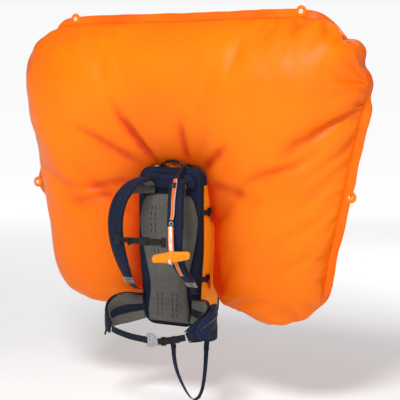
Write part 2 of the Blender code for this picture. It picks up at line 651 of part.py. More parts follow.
def make_cartridge(x, y):
    """Steel gas bottle, open at its neck, and the cradle that it lies in."""
    r = CARTRIDGE_R
    profile = [(0.0030, 0.2250), (0.0110, 0.2250), (0.0110, 0.2080)]
    profile += [(0.011 + (r - 0.011) * sin(radians(a)), 0.184 + 0.022 * cos(radians(a)))
                for a in (20, 45, 70, 90)]
    profile += [(r, 0.014), (r * 0.88, 0.004), (r * 0.6, 0.0)]
    wall = 0.0022
    profile += [(r * 0.6, wall), (r * 0.88 - wall * 0.7, 0.004 + wall * 0.7), (r - wall, 0.0145)]
    profile += [(0.0085 + (r - wall - 0.0085) * sin(radians(a)), 0.184 + 0.019 * cos(radians(a)))
                for a in (90, 70, 45, 20)]
    profile += [(0.0030, 0.2050)]
    foot = -0.1225
    rings = []
    for radius, height in profile:
        rings.append([(x + radius * cos(2 * pi * i / 24), y + radius * sin(2 * pi * i / 24), foot + height)
                      for i in range(24)])
    split = next(i for i, p in enumerate(profile) if p == (r * 0.6, 0.0))
    bm = bmesh.new()
    outer = skin_rings(bm, rings[:split + 1], caps=False)
    inner = skin_rings(bm, rings[split + 1:], caps=False)
    bm.faces.new(outer[-1])
    bm.faces.new(inner[0])
    for i in range(24):
        j = (i + 1) % 24
        bm.faces.new((outer[0][i], outer[0][j], inner[-1][j], inner[-1][i]))
    finish_mesh("gas_cartridge", bm, "cartridge_steel", (x, y, 0.0))
    low_y = SHEET_Y + SHEET_THICK + GAP
    cradle = block("cartridge_cradle", (x - 0.022, low_y, -0.060), (x + 0.022, y - 0.012, 0.010),
                   "frame_plastic")
    bed = turned("cradle_bed", [(r + 0.0006, -0.1), (r + 0.0006, 0.1)], (x, y, -0.02), (0, 0, 1),
                 "frame_plastic", 24)
    cut(cradle, cutter("cradle_bed", bed))


# ---------------------------------------------------------------- airbag


def notch_shape():
    """Right half of the inner seam: round the top of the pack, down its side, out along the arm's foot."""
    side = PACK_HALF_TOP + NOTCH_GAP
    radius = PACK_CORNER + NOTCH_GAP
    top = PACK_TOP + NOTCH_GAP
    corner = (side - radius, top - radius)
    points = [(0.0, top), (corner[0] / 2, top)] + arc(corner, radius, 90, 0, 4)
    return points + [(side, 0.130), (side, 0.050), (side, -0.030), (side + 0.004, -0.090),
                     (side + 0.022, -0.148), (0.190, -0.193)]


def bag_station(outer, inner, share, shrink):
    """One closed ring round the airbag's band. share runs 0 at the top to 1 at the arm's foot."""
    across = inner - outer
    start = outer + across.normalized() * shrink * SEAM_INSET
    end = inner - across.normalized() * shrink * SEAM_INSET
    fall = 1.0
    if share >= FOOT_SHARE:
        fall = cos((share - FOOT_SHARE) / (1 - FOOT_SHARE) * pi / 2) ** FOOT_POWER
    thick = max(BAG_HALF_THICK * fall - shrink, FOOT_THICK - shrink)
    front, rear = [], []
    for u in BULGE:
        x, z = start + (end - start) * u
        y = thick * sin(pi * u) ** BULGE_POWER if 0.0 < u < 1.0 else 0.0
        front.append((x, BAG_MID_Y - y, z))
        rear.append((x, BAG_MID_Y + y, z))
    return front + rear[-2:0:-1]


def bag_rings(shrink):
    outer = smooth_path([(x, z, 0.0) for x, z in OUTER_SHAPE], BAG_STEPS)
    inner = smooth_path([(x, z, 0.0) for x, z in notch_shape()], BAG_STEPS)
    right = []
    for i, (a, b) in enumerate(zip(outer, inner)):
        right.append(bag_station(a.to_2d(), b.to_2d(), i / (len(outer) - 1), shrink))
    left = [[(-x, y, z) for x, y, z in ring] for ring in right[:0:-1]]
    return left + right


def make_airbag():
    """Hollow U of nylon, open at the top of its notch where the inflation neck blows into it."""
    bm = bmesh.new()
    skins = []
    for shrink in (0.0, BAG_WALL):
        rings = bag_rings(shrink)
        loops = [[bm.verts.new(p) for p in ring] for ring in rings]
        skins.append(loops)
    middle = len(skins[0]) // 2
    seam = len(BULGE) - 1
    count = len(skins[0][0])
    mouth = {(middle - 1, seam - 1), (middle - 1, seam), (middle, seam - 1), (middle, seam)}
    for loops in skins:
        for s in range(len(loops) - 1):
            for i in range(count):
                if (s, i) not in mouth:
                    j = (i + 1) % count
                    bm.faces.new((loops[s][i], loops[s][j], loops[s + 1][j], loops[s + 1][i]))
        for ring in (loops[0], loops[-1]):
            close_flat_ring(bm, ring)
    edge = [(middle - 1, seam - 1), (middle, seam - 1), (middle + 1, seam - 1), (middle + 1, seam),
            (middle + 1, seam + 1), (middle, seam + 1), (middle - 1, seam + 1), (middle - 1, seam)]
    for (s, i), (t, j) in zip(edge, edge[1:] + edge[:1]):
        bm.faces.new((skins[0][s][i], skins[0][t][j], skins[1][t][j], skins[1][s][i]))
    finish_mesh("airbag", bm, "airbag_nylon", sharp=60.0)


def close_flat_ring(bm, ring):
    """Close the thin lens at the foot of an arm with strips from its front to its rear."""
    count = len(ring)
    last = count // 2
    bm.faces.new((ring[0], ring[1], ring[count - 1]))
    for i in range(1, last - 1):
        bm.faces.new((ring[i], ring[i + 1], ring[count - i - 1], ring[count - i]))
    bm.faces.new((ring[last - 1], ring[last], ring[last + 1]))


def flange_points(grow):
    """Outer seam line of the whole airbag, grown outwards by grow."""
    path = [p.to_2d() for p in smooth_path([(x, z, 0.0) for x, z in OUTER_SHAPE], BAG_STEPS)]
    path = [Vector((-p.x, p.y)) for p in path[:0:-1]] + path
    grown = []
    for i, p in enumerate(path):
        tangent = path[min(i + 1, len(path) - 1)] - path[max(i - 1, 0)]
        normal = Vector((-tangent.y, tangent.x)).normalized()
        grown.append(p + normal * grow)
    return grown


def make_flange():
    """Flat sewn edge outside the seam, with a tab and an eyelet at four places."""
    inner, outer = flange_points(0.0008), flange_points(FLANGE_WIDE)
    low, high = BAG_MID_Y - FLANGE_THICK / 2, BAG_MID_Y + FLANGE_THICK / 2
    rings = []
    for a, b in zip(inner, outer):
        rings.append([(a.x, low, a.y), (b.x, low, b.y), (b.x, high, b.y), (a.x, high, a.y)])
    flange = loft("airbag_flange", rings, "airbag_nylon")
    edge = flange_points(FLANGE_WIDE - 0.006)
    for name, (x, z) in zip(("top_r", "top_l", "side_r", "side_l"), eyelet_places(edge)):
        place = (x, BAG_MID_Y, z)
        tab = turned("flange_tab", [(0.0145, -FLANGE_THICK / 2), (0.0145, FLANGE_THICK / 2)], place,
                     (0, 1, 0), "airbag_nylon", 20)
        cut(flange, cutter("flange_tab_" + name, tab), "UNION")
        hole = turned("tab_hole", [(0.0044, -0.01), (0.0044, 0.01)], place, (0, 1, 0), "airbag_nylon", 16)
        cut(flange, cutter("tab_hole_" + name, hole))
        face = FLANGE_THICK / 2 + GAP
        rim = [(EYELET_BORE, -face - 0.001), (0.0065, -face - 0.001), (0.0065, -face), (0.0040, -face),
               (0.0040, face), (0.0065, face), (0.0065, face + 0.001), (EYELET_BORE, face + 0.001),
               (EYELET_BORE, -face - 0.001)]
        turned("eyelet_" + name, rim, place, (0, 1, 0), "white_plastic", 16)


def eyelet_places(edge):
    """Top pair near the corners and side pair low on the outer edges."""
    top = min(range(len(edge)), key=lambda i: (edge[i] - Vector(EYELET_TOP)).length)
    side = min(range(len(edge)), key=lambda i: (edge[i] - Vector(EYELET_SIDE)).length)
    last = len(edge) - 1
    return [edge[last - top], edge[top], edge[last - side], edge[side]]


# ---------------------------------------------------------------- zip
def make_zip_sliders():
    """Two sliders on the pack's rear edge, with their pull tabs hanging from them."""
    for sign, tag in ((1, "l"), (-1, "r")):
        x = sign * (PACK_HALF_TOP + 0.0032)
        y, z = PACK_REAR - 0.004, 0.150
        block("zip_slider_" + tag, (x - 0.0022, y - 0.005, z - 0.006), (x + 0.0022, y + 0.005, z + 0.006),
              "black_plastic", bevel=0.0008)
        tab_z = z - 0.0068
        block("zip_pull_" + tag, (x - 0.0012, y - 0.0035, tab_z - 0.034), (x + 0.0012, y + 0.0035, tab_z),
              "orange_webbing", bevel=0.0005, pivot=(x, y, tab_z))


def main():
    clear_scene()
    make_pack_shell()
    make_main_flap()
    make_back_panel()
    make_yoke()
    make_frame()
    make_haul_loop()
    make_sternum_strap()
    make_hip_pocket()
    make_belt_webbing()
    make_belt_buckle()
    make_leg_loop()
    make_trigger()
    make_trigger_cable()
    make_inflator()
    make_airbag()
    make_flange()
    make_zip_sliders()
    for sign, tag in ((1, "l"), (-1, "r")):
        make_sides(sign, tag)
        make_shoulder_strap(tag)
        make_strap_hardware(tag)
        make_fin(sign, tag)


main()
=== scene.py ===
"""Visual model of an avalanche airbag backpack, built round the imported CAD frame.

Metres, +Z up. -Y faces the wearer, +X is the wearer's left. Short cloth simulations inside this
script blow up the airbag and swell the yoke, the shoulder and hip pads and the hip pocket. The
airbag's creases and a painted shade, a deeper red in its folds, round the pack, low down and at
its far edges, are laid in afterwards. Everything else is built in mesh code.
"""

import random
from math import copysign, cos, exp, pi, radians, sin, sqrt

import bmesh
import bpy
import numpy as np
from mathutils import Matrix, Vector, noise
from mathutils.geometry import delaunay_2d_cdt


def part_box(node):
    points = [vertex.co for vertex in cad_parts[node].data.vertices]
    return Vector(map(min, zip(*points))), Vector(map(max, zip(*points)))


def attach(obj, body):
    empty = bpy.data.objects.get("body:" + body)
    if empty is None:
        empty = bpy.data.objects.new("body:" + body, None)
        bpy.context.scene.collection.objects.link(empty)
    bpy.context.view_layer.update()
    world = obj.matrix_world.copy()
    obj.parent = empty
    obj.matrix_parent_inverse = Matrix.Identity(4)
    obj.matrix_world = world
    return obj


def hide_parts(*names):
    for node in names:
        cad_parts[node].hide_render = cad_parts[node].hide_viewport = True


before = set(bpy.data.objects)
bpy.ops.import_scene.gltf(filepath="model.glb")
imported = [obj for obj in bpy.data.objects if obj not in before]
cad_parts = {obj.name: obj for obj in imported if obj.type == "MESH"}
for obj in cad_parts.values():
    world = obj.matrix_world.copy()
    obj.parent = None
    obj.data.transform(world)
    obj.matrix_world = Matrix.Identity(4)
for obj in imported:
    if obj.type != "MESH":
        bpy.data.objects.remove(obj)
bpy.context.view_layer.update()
SCENE = bpy.context.scene

# ---------------------------------------------------------------- dimensions shared with the CAD
PACK_TOP = 0.25
PACK_HALF_TOP = 0.111
PACK_HALF_BOTTOM = 0.095
PACK_FRONT = 0.0155
PACK_REAR = 0.164
PACK_CORNER = 0.042
SEAM_Y = 0.1
STRAP_ROUTES = {
    "l": ((0.057, -0.0075, 0.198), (0.062, -0.034, 0.216), (0.08, -0.078, 0.202), (0.095, -0.114, 0.162),
          (0.103, -0.131, 0.112), (0.104, -0.136, 0.06), (0.101, -0.127, 0.005), (0.105, -0.098, -0.05),
          (0.109, -0.052, -0.092)),
    "r": ((-0.054, -0.0075, 0.198), (-0.06, -0.034, 0.216), (-0.078, -0.08, 0.2), (-0.094, -0.118, 0.16),
          (-0.102, -0.135, 0.11), (-0.101, -0.139, 0.06), (-0.097, -0.131, 0.008), (-0.092, -0.112, -0.045),
          (-0.092, -0.086, -0.086)),
}
FIN_ROUTE = (
    (0.083, 0.0072, -0.192), (0.11, -0.002, -0.196), (0.143, -0.013, -0.201), (0.168, -0.04, -0.209),
    (0.173, -0.076, -0.221), (0.156, -0.104, -0.235), (0.134, -0.118, -0.246),
)
LEG_ROUTE = (
    (0.088, -0.118, -0.276), (0.0895, -0.1165, -0.313), (0.0945, -0.112, -0.348),
    (0.1025, -0.106, -0.378), (0.112, -0.0985, -0.405), (0.123, -0.09, -0.43),
    (0.135, -0.081, -0.446), (0.1475, -0.0715, -0.442), (0.156, -0.0645, -0.421),
    (0.161, -0.06, -0.39), (0.164, -0.0575, -0.355), (0.166, -0.056, -0.32),
    (0.167, -0.055, -0.288),
)
LEG_WEB = 0.015
BUCKLE_X = 0.02
BELT_Z = -0.264
STERNUM_Z = 0.039
FLOOR_Z = -0.5
UP, ALONG_X, ALONG_Y = (0, 0, 1), (1, 0, 0), (0, 1, 0)
TO_WEARER = Vector((0, -1, 0))


def placed(name, data):
    """A new object with this data, linked to the scene."""
    obj = bpy.data.objects.new(name, data)
    SCENE.collection.objects.link(obj)
    return obj


# ---------------------------------------------------------------- camera
CAM_AZ, CAM_EL, CAM_DIST, CAM_LENS = 28.0, 6.0, 3.4, 98.0
CAM_AIM = (0.083, 0.062, 0.1475)


def make_camera():
    az, el = radians(CAM_AZ), radians(CAM_EL)
    look = Vector((-sin(az) * cos(el), cos(az) * cos(el), -sin(el)))
    data = bpy.data.cameras.new("camera")
    data.lens = CAM_LENS
    cam = placed("camera", data)
    cam.location = Vector(CAM_AIM) - look * CAM_DIST
    cam.rotation_euler = look.to_track_quat("-Z", "Y").to_euler()
    SCENE.camera = cam


make_camera()


# ---------------------------------------------------------------- materials
SHEEN_SHARE, SPECULAR_SHARE = 0.25, 0.5     # kept low, so that the lights don't wash the cloth out


def new_material(name, rough=0.6, metal=0.0, sheen=0.0, sheen_rough=0.4, coat=0.0, specular=0.5):
    mat = bpy.data.materials.new(name)
    mat.use_nodes = True
    shader = mat.node_tree.nodes["Principled BSDF"]
    shader.inputs["Roughness"].default_value = rough
    shader.inputs["Metallic"].default_value = metal
    shader.inputs["Sheen Weight"].default_value = sheen * SHEEN_SHARE
    shader.inputs["Sheen Roughness"].default_value = sheen_rough
    shader.inputs["Coat Weight"].default_value = coat
    shader.inputs["Specular IOR Level"].default_value = specular * SPECULAR_SHARE
    return mat, mat.node_tree, shader


def node(tree, kind, **values):
    made = tree.nodes.new(kind)
    for key, value in values.items():
        if hasattr(made, key):
            setattr(made, key, value)
        else:
            made.inputs[key.replace("_", " ")].default_value = value
    return made


def coords(tree, kind="Object", scale=(1.0, 1.0, 1.0)):
    source = tree.nodes.new("ShaderNodeTexCoord")
    mapping = tree.nodes.new("ShaderNodeMapping")
    mapping.inputs["Scale"].default_value = scale
    tree.links.new(source.outputs[kind], mapping.inputs["Vector"])
    return mapping.outputs["Vector"]


def noise_at(tree, vector, scale, detail=3.0, rough=0.55):
    tex = node(tree, "ShaderNodeTexNoise", Scale=scale, Detail=detail, Roughness=rough)
    tree.links.new(vector, tex.inputs["Vector"])
    return tex.outputs["Fac"]


def wave_at(tree, vector, scale, direction):
    tex = tree.nodes.new("ShaderNodeTexWave")
    tex.bands_direction = direction
    tex.wave_profile = "SIN"
    tex.inputs["Scale"].default_value = scale
    tree.links.new(vector, tex.inputs["Vector"])
    return tex.outputs["Fac"]


def maths(tree, kind, a, b=0.0):
    made = tree.nodes.new("ShaderNodeMath")
    made.operation = kind
    for socket, value in zip(made.inputs, (a, b)):
        if isinstance(value, (int, float)):
            socket.default_value = value
        else:
            tree.links.new(value, socket)
    return made.outputs[0]


def ramp(tree, fac, stops):
    made = tree.nodes.new("ShaderNodeValToRGB")
    cells = made.color_ramp.elements
    while len(cells) < len(stops):
        cells.new(0.5)
    for cell, (place, color) in zip(cells, stops):
        cell.position = place
        cell.color = (*color, 1.0) if len(color) == 3 else color
    tree.links.new(fac, made.inputs["Fac"])
    return made.outputs["Color"]


def bump(tree, shader, height, strength, distance, under=None):
    made = node(tree, "ShaderNodeBump", Strength=strength, Distance=distance)
    tree.links.new(height, made.inputs["Height"])
    if under is not None:
        tree.links.new(under, made.inputs["Normal"])
    tree.links.new(made.outputs["Normal"], shader.inputs["Normal"])
    return made.outputs["Normal"]


def tinted(tree, fac, first, second):
    """first (a socket) turned towards the colour second where fac is high."""
    made = tree.nodes.new("ShaderNodeMix")
    made.data_type = "RGBA"
    tree.links.new(fac, made.inputs["Factor"])
    tree.links.new(first, made.inputs["A"])
    made.inputs["B"].default_value = (*second, 1.0)
    return made.outputs["Result"]


def shade(color, k):
    return tuple(min(c * k, 1.0) for c in color)


def crossed(tree, vector, pitch):
    """Height of a woven grid with the given pitch in metres, whichever way the surface faces."""
    bands = [wave_at(tree, vector, 0.5 / pitch, axis) for axis in "XYZ"]
    both = maths(tree, "ADD", bands[0], bands[1])
    return maths(tree, "MULTIPLY", maths(tree, "ADD", both, bands[2]), 0.333)


def cloth_material(name, color, pitch=0.0016, rough=0.75, sheen=0.25, vary=0.25, grain=0.35, wear=1.5):
    """Woven fabric: thread grid, blotchy colour, paler rubbed places and a soft sheen."""
    mat, tree, shader = new_material(name, rough, 0.0, sheen, 0.45, specular=0.3)
    at = coords(tree)
    grid = crossed(tree, at, pitch)
    broad = noise_at(tree, at, 9.0, 4.0)
    fine = noise_at(tree, at, 420.0, 2.0)
    mixed = maths(tree, "ADD", maths(tree, "MULTIPLY", broad, 0.7), maths(tree, "MULTIPLY", fine, 0.3))
    tone = ramp(tree, mixed, [(0.3, shade(color, 1 - vary)), (0.52, color), (0.78, shade(color, wear))])
    tree.links.new(tone, shader.inputs["Base Color"])
    rub = maths(tree, "ADD", maths(tree, "MULTIPLY", broad, 0.25), rough - 0.12)
    tree.links.new(rub, shader.inputs["Roughness"])
    height = maths(tree, "ADD", maths(tree, "MULTIPLY", grid, 0.7), maths(tree, "MULTIPLY", fine, 0.3))
    first = bump(tree, shader, height, grain, 0.0005)
    soft = noise_at(tree, at, 34.0, 3.0)
    bump(tree, shader, soft, 0.25, 0.003, first)
    return mat


def airbag_material():
    """Thin coated ripstop: a 5 mm grid of thicker threads, a slight gloss and fine crumples."""
    mat, tree, shader = new_material("airbag_nylon_skin", 0.48, 0.0, 0.0, 0.3, specular=0.3)
    at = coords(tree)
    broad = noise_at(tree, at, 3.2, 4.0)
    tone = ramp(tree, broad, [(0.3, (0.9, 0.155, 0.001)), (0.5, (0.94, 0.18, 0.001)),
                              (0.72, (0.96, 0.205, 0.001))])
    # Painted shade: where the attribute deep is high, the colour turns to a dark red, in folds, round the pack,
    # low down and at the edges.
    fold = tree.nodes.new("ShaderNodeAttribute")
    fold.attribute_name = "deep"
    tree.links.new(tinted(tree, fold.outputs["Fac"], tone, (0.55, 0.018, 0.001)), shader.inputs["Base Color"])
    grid = crossed(tree, at, 0.005)
    sharp = maths(tree, "POWER", grid, 6.0)
    weave = crossed(tree, at, 0.0011)
    height = maths(tree, "ADD", maths(tree, "MULTIPLY", sharp, 1.2), maths(tree, "MULTIPLY", weave, 0.25))
    first = bump(tree, shader, height, 0.22, 0.0004)
    crumple = noise_at(tree, at, 16.0, 5.0, 0.6)
    bump(tree, shader, crumple, 0.22, 0.006, first)
    gloss = maths(tree, "ADD", maths(tree, "MULTIPLY", noise_at(tree, at, 22.0, 3.0), 0.18), 0.33)
    tree.links.new(gloss, shader.inputs["Roughness"])
    return mat


def webbing_material(name, color, edge=None, edge_from=0.8, rib=0.0013, rough=0.7):
    """Flat woven webbing. UV runs along (metres) and across (-1 to 1): cross ribs, edge yarns, tone."""
    mat, tree, shader = new_material(name, rough, 0.0, 0.3, 0.4, specular=0.3)
    uv = coords(tree, "UV")
    split = tree.nodes.new("ShaderNodeSeparateXYZ")
    tree.links.new(uv, split.inputs[0])
    along, across = split.outputs[0], split.outputs[1]
    ribs = maths(tree, "SINE", maths(tree, "MULTIPLY", along, 2 * pi / rib))
    cords = maths(tree, "SINE", maths(tree, "MULTIPLY", across, 22.0))
    weave = maths(tree, "MULTIPLY", maths(tree, "ADD", ribs, cords), 0.5)
    blot = noise_at(tree, coords(tree), 60.0, 3.0)
    tone = ramp(tree, blot, [(0.3, shade(color, 0.75)), (0.55, color), (0.8, shade(color, 1.6))])
    if edge is not None:
        far = maths(tree, "GREATER_THAN", maths(tree, "ABSOLUTE", across), edge_from)
        tone = tinted(tree, far, tone, edge)
    tree.links.new(tone, shader.inputs["Base Color"])
    bump(tree, shader, weave, 0.5, 0.0004)
    return mat


def mesh_material(name, color):
    """Brushed spacer mesh: tiny open cells, painted darker as shade in their hollows, over a paler ground, with
    blotches.
    """
    mat, tree, shader = new_material(name, 0.88, 0.0, 0.35, 0.5, specular=0.2)
    at = coords(tree)
    cell = tree.nodes.new("ShaderNodeTexVoronoi")
    cell.inputs["Scale"].default_value = 420.0
    tree.links.new(at, cell.inputs["Vector"])
    open_ = maths(tree, "MINIMUM", maths(tree, "MULTIPLY", cell.outputs["Distance"], 1.7), 1.0)
    broad = noise_at(tree, at, 14.0, 4.0)
    # The open cells come out darker: painted shade in their hollows.
    mixed = maths(tree, "ADD", maths(tree, "MULTIPLY", broad, 0.55), maths(tree, "MULTIPLY", open_, 0.45))
    tone = ramp(tree, mixed, [(0.3, shade(color, 0.62)), (0.52, color), (0.8, shade(color, 1.35))])
    tree.links.new(tone, shader.inputs["Base Color"])
    first = bump(tree, shader, open_, 0.5, 0.0008)
    bump(tree, shader, broad, 0.3, 0.004, first)
    return mat


def plastic_material(name, color, rough=0.42, fleck=1.25):
    mat, tree, shader = new_material(name, rough, 0.0, specular=0.45)
    at = coords(tree)
    fine = noise_at(tree, at, 900.0, 2.0)
    broad = noise_at(tree, at, 45.0, 3.0)
    tone = ramp(tree, broad, [(0.3, shade(color, 0.82)), (0.6, color), (0.85, shade(color, fleck))])
    tree.links.new(tone, shader.inputs["Base Color"])
    worn = maths(tree, "ADD", maths(tree, "MULTIPLY", broad, 0.22), rough - 0.1)
    tree.links.new(worn, shader.inputs["Roughness"])
    bump(tree, shader, fine, 0.18, 0.0003)
    return mat


def metal_material(name, color, rough=0.32, stretch=(1.0, 1.0, 14.0)):
    """Satin metal with a drawn grain, faint scratches and darker handled places."""
    mat, tree, shader = new_material(name, rough, 1.0)
    at = coords(tree, "Object", stretch)
    grain = noise_at(tree, at, 500.0, 3.0)
    broad = noise_at(tree, coords(tree), 60.0, 4.0)
    tone = ramp(tree, broad, [(0.3, shade(color, 0.78)), (0.6, color), (0.85, shade(color, 1.12))])
    tree.links.new(tone, shader.inputs["Base Color"])
    worn = maths(tree, "ADD", maths(tree, "MULTIPLY", grain, 0.2), rough - 0.08)
    tree.links.new(worn, shader.inputs["Roughness"])
    bump(tree, shader, grain, 0.12, 0.0003)
    return mat


NAVY = (0.0062, 0.011, 0.033)
MAT = {
    "airbag": airbag_material(),
    "navy": cloth_material("navy_packcloth", NAVY, 0.0014, 0.62, 0.22, 0.3, 0.4, 1.7),
    "navy_light": cloth_material("navy_stretch_fabric", (0.0085, 0.015, 0.044), 0.0022, 0.7, 0.3, 0.3, 0.5,
                                 1.6),
    "orange": cloth_material("orange_packcloth", (0.95, 0.29, 0.002), 0.0016, 0.6, 0.15, 0.12, 0.35, 1.05),
    "grey": mesh_material("grey_spacer_mesh", (0.088, 0.084, 0.074)),
    # Dark cloth: the pocket's mesh, and painted shade for the back panel's slots and the hip fins' gap.
    "dark_mesh_and_shade": cloth_material("dark_lining_and_painted_shade", (0.012, 0.013, 0.016), 0.0012, 0.85, 0.1, 0.3, 0.4, 1.4),
    "web": webbing_material("black_webbing_weave", (0.01, 0.012, 0.018)),
    "web_navy": webbing_material("navy_webbing_weave", (0.009, 0.013, 0.028)),
    "tape": webbing_material("orange_tape_weave", (0.88, 0.15, 0.01), (0.55, 0.5, 0.46), 0.72, 0.001),
    "stem": webbing_material("stem_tape_weave", (0.74, 0.72, 0.69), (0.88, 0.17, 0.01), 0.62, 0.001),
    "thread": cloth_material("navy_thread", (0.03, 0.042, 0.08), 0.0005, 0.7, 0.2),
    "thread_orange": cloth_material("orange_thread", (0.55, 0.055, 0.003), 0.0005, 0.7, 0.2),
    "thread_white": cloth_material("pale_thread", (0.55, 0.53, 0.5), 0.0005, 0.7, 0.2),
    "binding": cloth_material("black_binding", (0.008, 0.009, 0.012), 0.0009, 0.7, 0.3),
    "plastic": plastic_material("black_moulding", (0.012, 0.012, 0.013)),
    "olive": plastic_material("olive_moulding", (0.055, 0.045, 0.018)),
    "orange_plastic": plastic_material("orange_moulding", (0.95, 0.27, 0.004), 0.42, 1.05),
    "white_plastic": plastic_material("white_moulding", (0.72, 0.7, 0.64), 0.35, 1.05),
    "frame_plastic": plastic_material("frame_sheet_plastic", (0.045, 0.045, 0.05), 0.45),
    "rubber": plastic_material("valve_rubber", (0.02, 0.02, 0.02), 0.75),
    "alu": metal_material("satin_aluminium", (0.4, 0.41, 0.43)),
    "brass": metal_material("turned_brass", (0.68, 0.49, 0.2), 0.3, (14.0, 14.0, 1.0)),
    "steel": metal_material("brushed_bottle_steel", (0.52, 0.53, 0.55), 0.34, (14.0, 14.0, 1.0)),
    "red": cloth_material("red_tab_fabric", (0.62, 0.018, 0.012), 0.0012, 0.6, 0.2, 0.15, 0.3, 1.1),
}


# ---------------------------------------------------------------- mesh helpers
def finish(name, bm_or_mesh, look, body, stands_for=(), smooth=True, sharp=None, subsurf=0):
    """Make the object, give it its material and slot, and let it ride on its body."""
    if isinstance(bm_or_mesh, bpy.types.Mesh):
        mesh = bm_or_mesh
        mesh.name = name
    else:
        bmesh.ops.recalc_face_normals(bm_or_mesh, faces=bm_or_mesh.faces)
        mesh = bpy.data.meshes.new(name)
        bm_or_mesh.to_mesh(mesh)
        bm_or_mesh.free()
    if smooth:
        mesh.shade_smooth()
        if sharp:
            mesh.set_sharp_from_angle(angle=radians(sharp))
    mesh.materials.clear()
    mesh.materials.append(MAT[look])
    obj = placed(name, mesh)
    if subsurf:
        mod = obj.modifiers.new("smooth", "SUBSURF")
        mod.levels = mod.render_levels = subsurf
    if stands_for:
        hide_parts(*stands_for)
    if body:
        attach(obj, body)
    return obj


def thicken(obj, thickness, offset=0.0):
    """Give a sheet its thickness. offset -1 grows it inwards, 0 both ways."""
    mod = obj.modifiers.new("thick", "SOLIDIFY")
    mod.thickness, mod.offset = thickness, offset


def turns(count):
    return [2 * pi * k / count for k in range(count)]


def skin_loops(bm, loops, cap_first=False, cap_last=False, flat_ends=False):
    """Quads from loop to loop. A cap is a fan round the loop's centre, flat_ends one face at each end."""
    count = len(loops[0])
    for a, b in zip(loops, loops[1:]):
        for k in range(count):
            m = (k + 1) % count
            bm.faces.new((a[k], a[m], b[m], b[k]))
    for wanted, loop in ((cap_first, loops[0]), (cap_last, loops[-1])):
        if wanted:
            centre = bm.verts.new(sum((v.co for v in loop), Vector()) / count)
            for k in range(count):
                bm.faces.new((loop[k], loop[(k + 1) % count], centre))
    if flat_ends:
        bm.faces.new(loops[0])
        bm.faces.new(loops[-1][::-1])


def sheet_faces(bm, rows, flip=False):
    """Quads over a grid of vertices."""
    for a, b in zip(rows, rows[1:]):
        for k in range(len(a) - 1):
            quad = (a[k], a[k + 1], b[k + 1], b[k])
            bm.faces.new(quad[::-1] if flip else quad)


def curve_through(points, steps):
    """Catmull-Rom curve through the points."""
    pts = [Vector(p) for p in points]
    ends = [2 * pts[0] - pts[1]] + pts + [2 * pts[-1] - pts[-2]]
    path = []
    for a, b, c, d in zip(ends, ends[1:], ends[2:], ends[3:]):
        for k in range(steps):
            t = k / steps
            path.append(0.5 * (2 * b + (c - a) * t + (2 * a - 5 * b + 4 * c - d) * t * t
                               + (3 * b - a - 3 * c + d) * t ** 3))
    path.append(pts[-1])
    return path


def running(path):
    """Distance along the path at each of its points."""
    runs = [0.0]
    for a, b in zip(path, path[1:]):
        runs.append(runs[-1] + (b - a).length)
    return runs


def spaced(path, gap):
    """The path resampled at equal steps of about gap."""
    runs = running(path)
    count = max(2, round(runs[-1] / gap))
    out, j = [], 0
    for k in range(count + 1):
        s = runs[-1] * k / count
        while j < len(runs) - 2 and runs[j + 1] < s:
            j += 1
        t = (s - runs[j]) / max(runs[j + 1] - runs[j], 1e-9)
        out.append(path[j].lerp(path[j + 1], min(t, 1.0)))
    return out


def spread(values, count):
    """values given at equal shares of a length, read off at count points."""
    if isinstance(values, (int, float)):
        return [values] * count
    return list(np.interp(np.linspace(0, len(values) - 1, count), range(len(values)), values))


def frames_along(path, across):
    """Tangent, side and up at each point of the path. across is the rough width direction."""
    out = []
    for i in range(len(path)):
        tangent = (path[min(i + 1, len(path) - 1)] - path[max(i - 1, 0)]).normalized()
        side = Vector(across[i]) if isinstance(across, list) else Vector(across)
        side = (side - tangent * side.dot(tangent)).normalized()
        out.append((tangent, side, tangent.cross(side).normalized()))
    return out


def band(name, points, width, thick, across, look, body, gap=0.005, section=None, lift=0.0, **more):
    """A strap along the points, with UV along (metres) and across (-1 to 1).

    section is a list of (share of half width, share of half thickness) round the strap.
    """
    path = spaced(curve_through(points, 8), gap)
    widths, thicks = spread(width, len(path)), spread(thick, len(path))
    section = section or [(1, -0.4), (1, 0.4), (0.93, 1), (0, 1), (-0.93, 1), (-1, 0.4), (-1, -0.4),
                          (-0.93, -1), (0, -1), (0.93, -1)]
    bm = bmesh.new()
    uv = bm.loops.layers.uv.new("UVMap")
    rings, run = [], 0.0
    marks = []
    for i, (p, (_, side, up)) in enumerate(zip(path, frames_along(path, across))):
        run += (p - path[i - 1]).length if i else 0.0
        ring = []
        for a, b in section:
            vert = bm.verts.new(p + side * a * widths[i] / 2 + up * (b * thicks[i] / 2 + lift))
            ring.append(vert)
            marks.append((run, a))
        rings.append(ring)
    bm.verts.index_update()
    skin_loops(bm, rings, flat_ends=True)
    for face in bm.faces:
        for loop in face.loops:
            loop[uv].uv = marks[loop.vert.index]
    return finish(name, bm, look, body, **more)


def rod(name, points, radius, look, body, sides=8, gap=0.004, closed=False, **more):
    """Round cord or piping along a path."""
    path = spaced(curve_through(points, 6), gap) if gap else [Vector(p) for p in points]
    frames = frames_along(path, (0.31, 0.17, 0.94))
    bm = bmesh.new()
    rings = []
    for p, (_, side, up) in zip(path, frames):
        rings.append([bm.verts.new(p + (side * cos(t) + up * sin(t)) * radius) for t in turns(sides)])
    skin_loops(bm, rings + rings[:1] if closed else rings, flat_ends=not closed)
    return finish(name, bm, look, body, **more)


def beside(strip, side=0.0, up=0.0):
    """Line along a strip (its path, widths and frames), off its middle by a share of its width."""
    return [p + s * (w * side) + u * up for p, w, (_, s, u) in zip(*strip)]


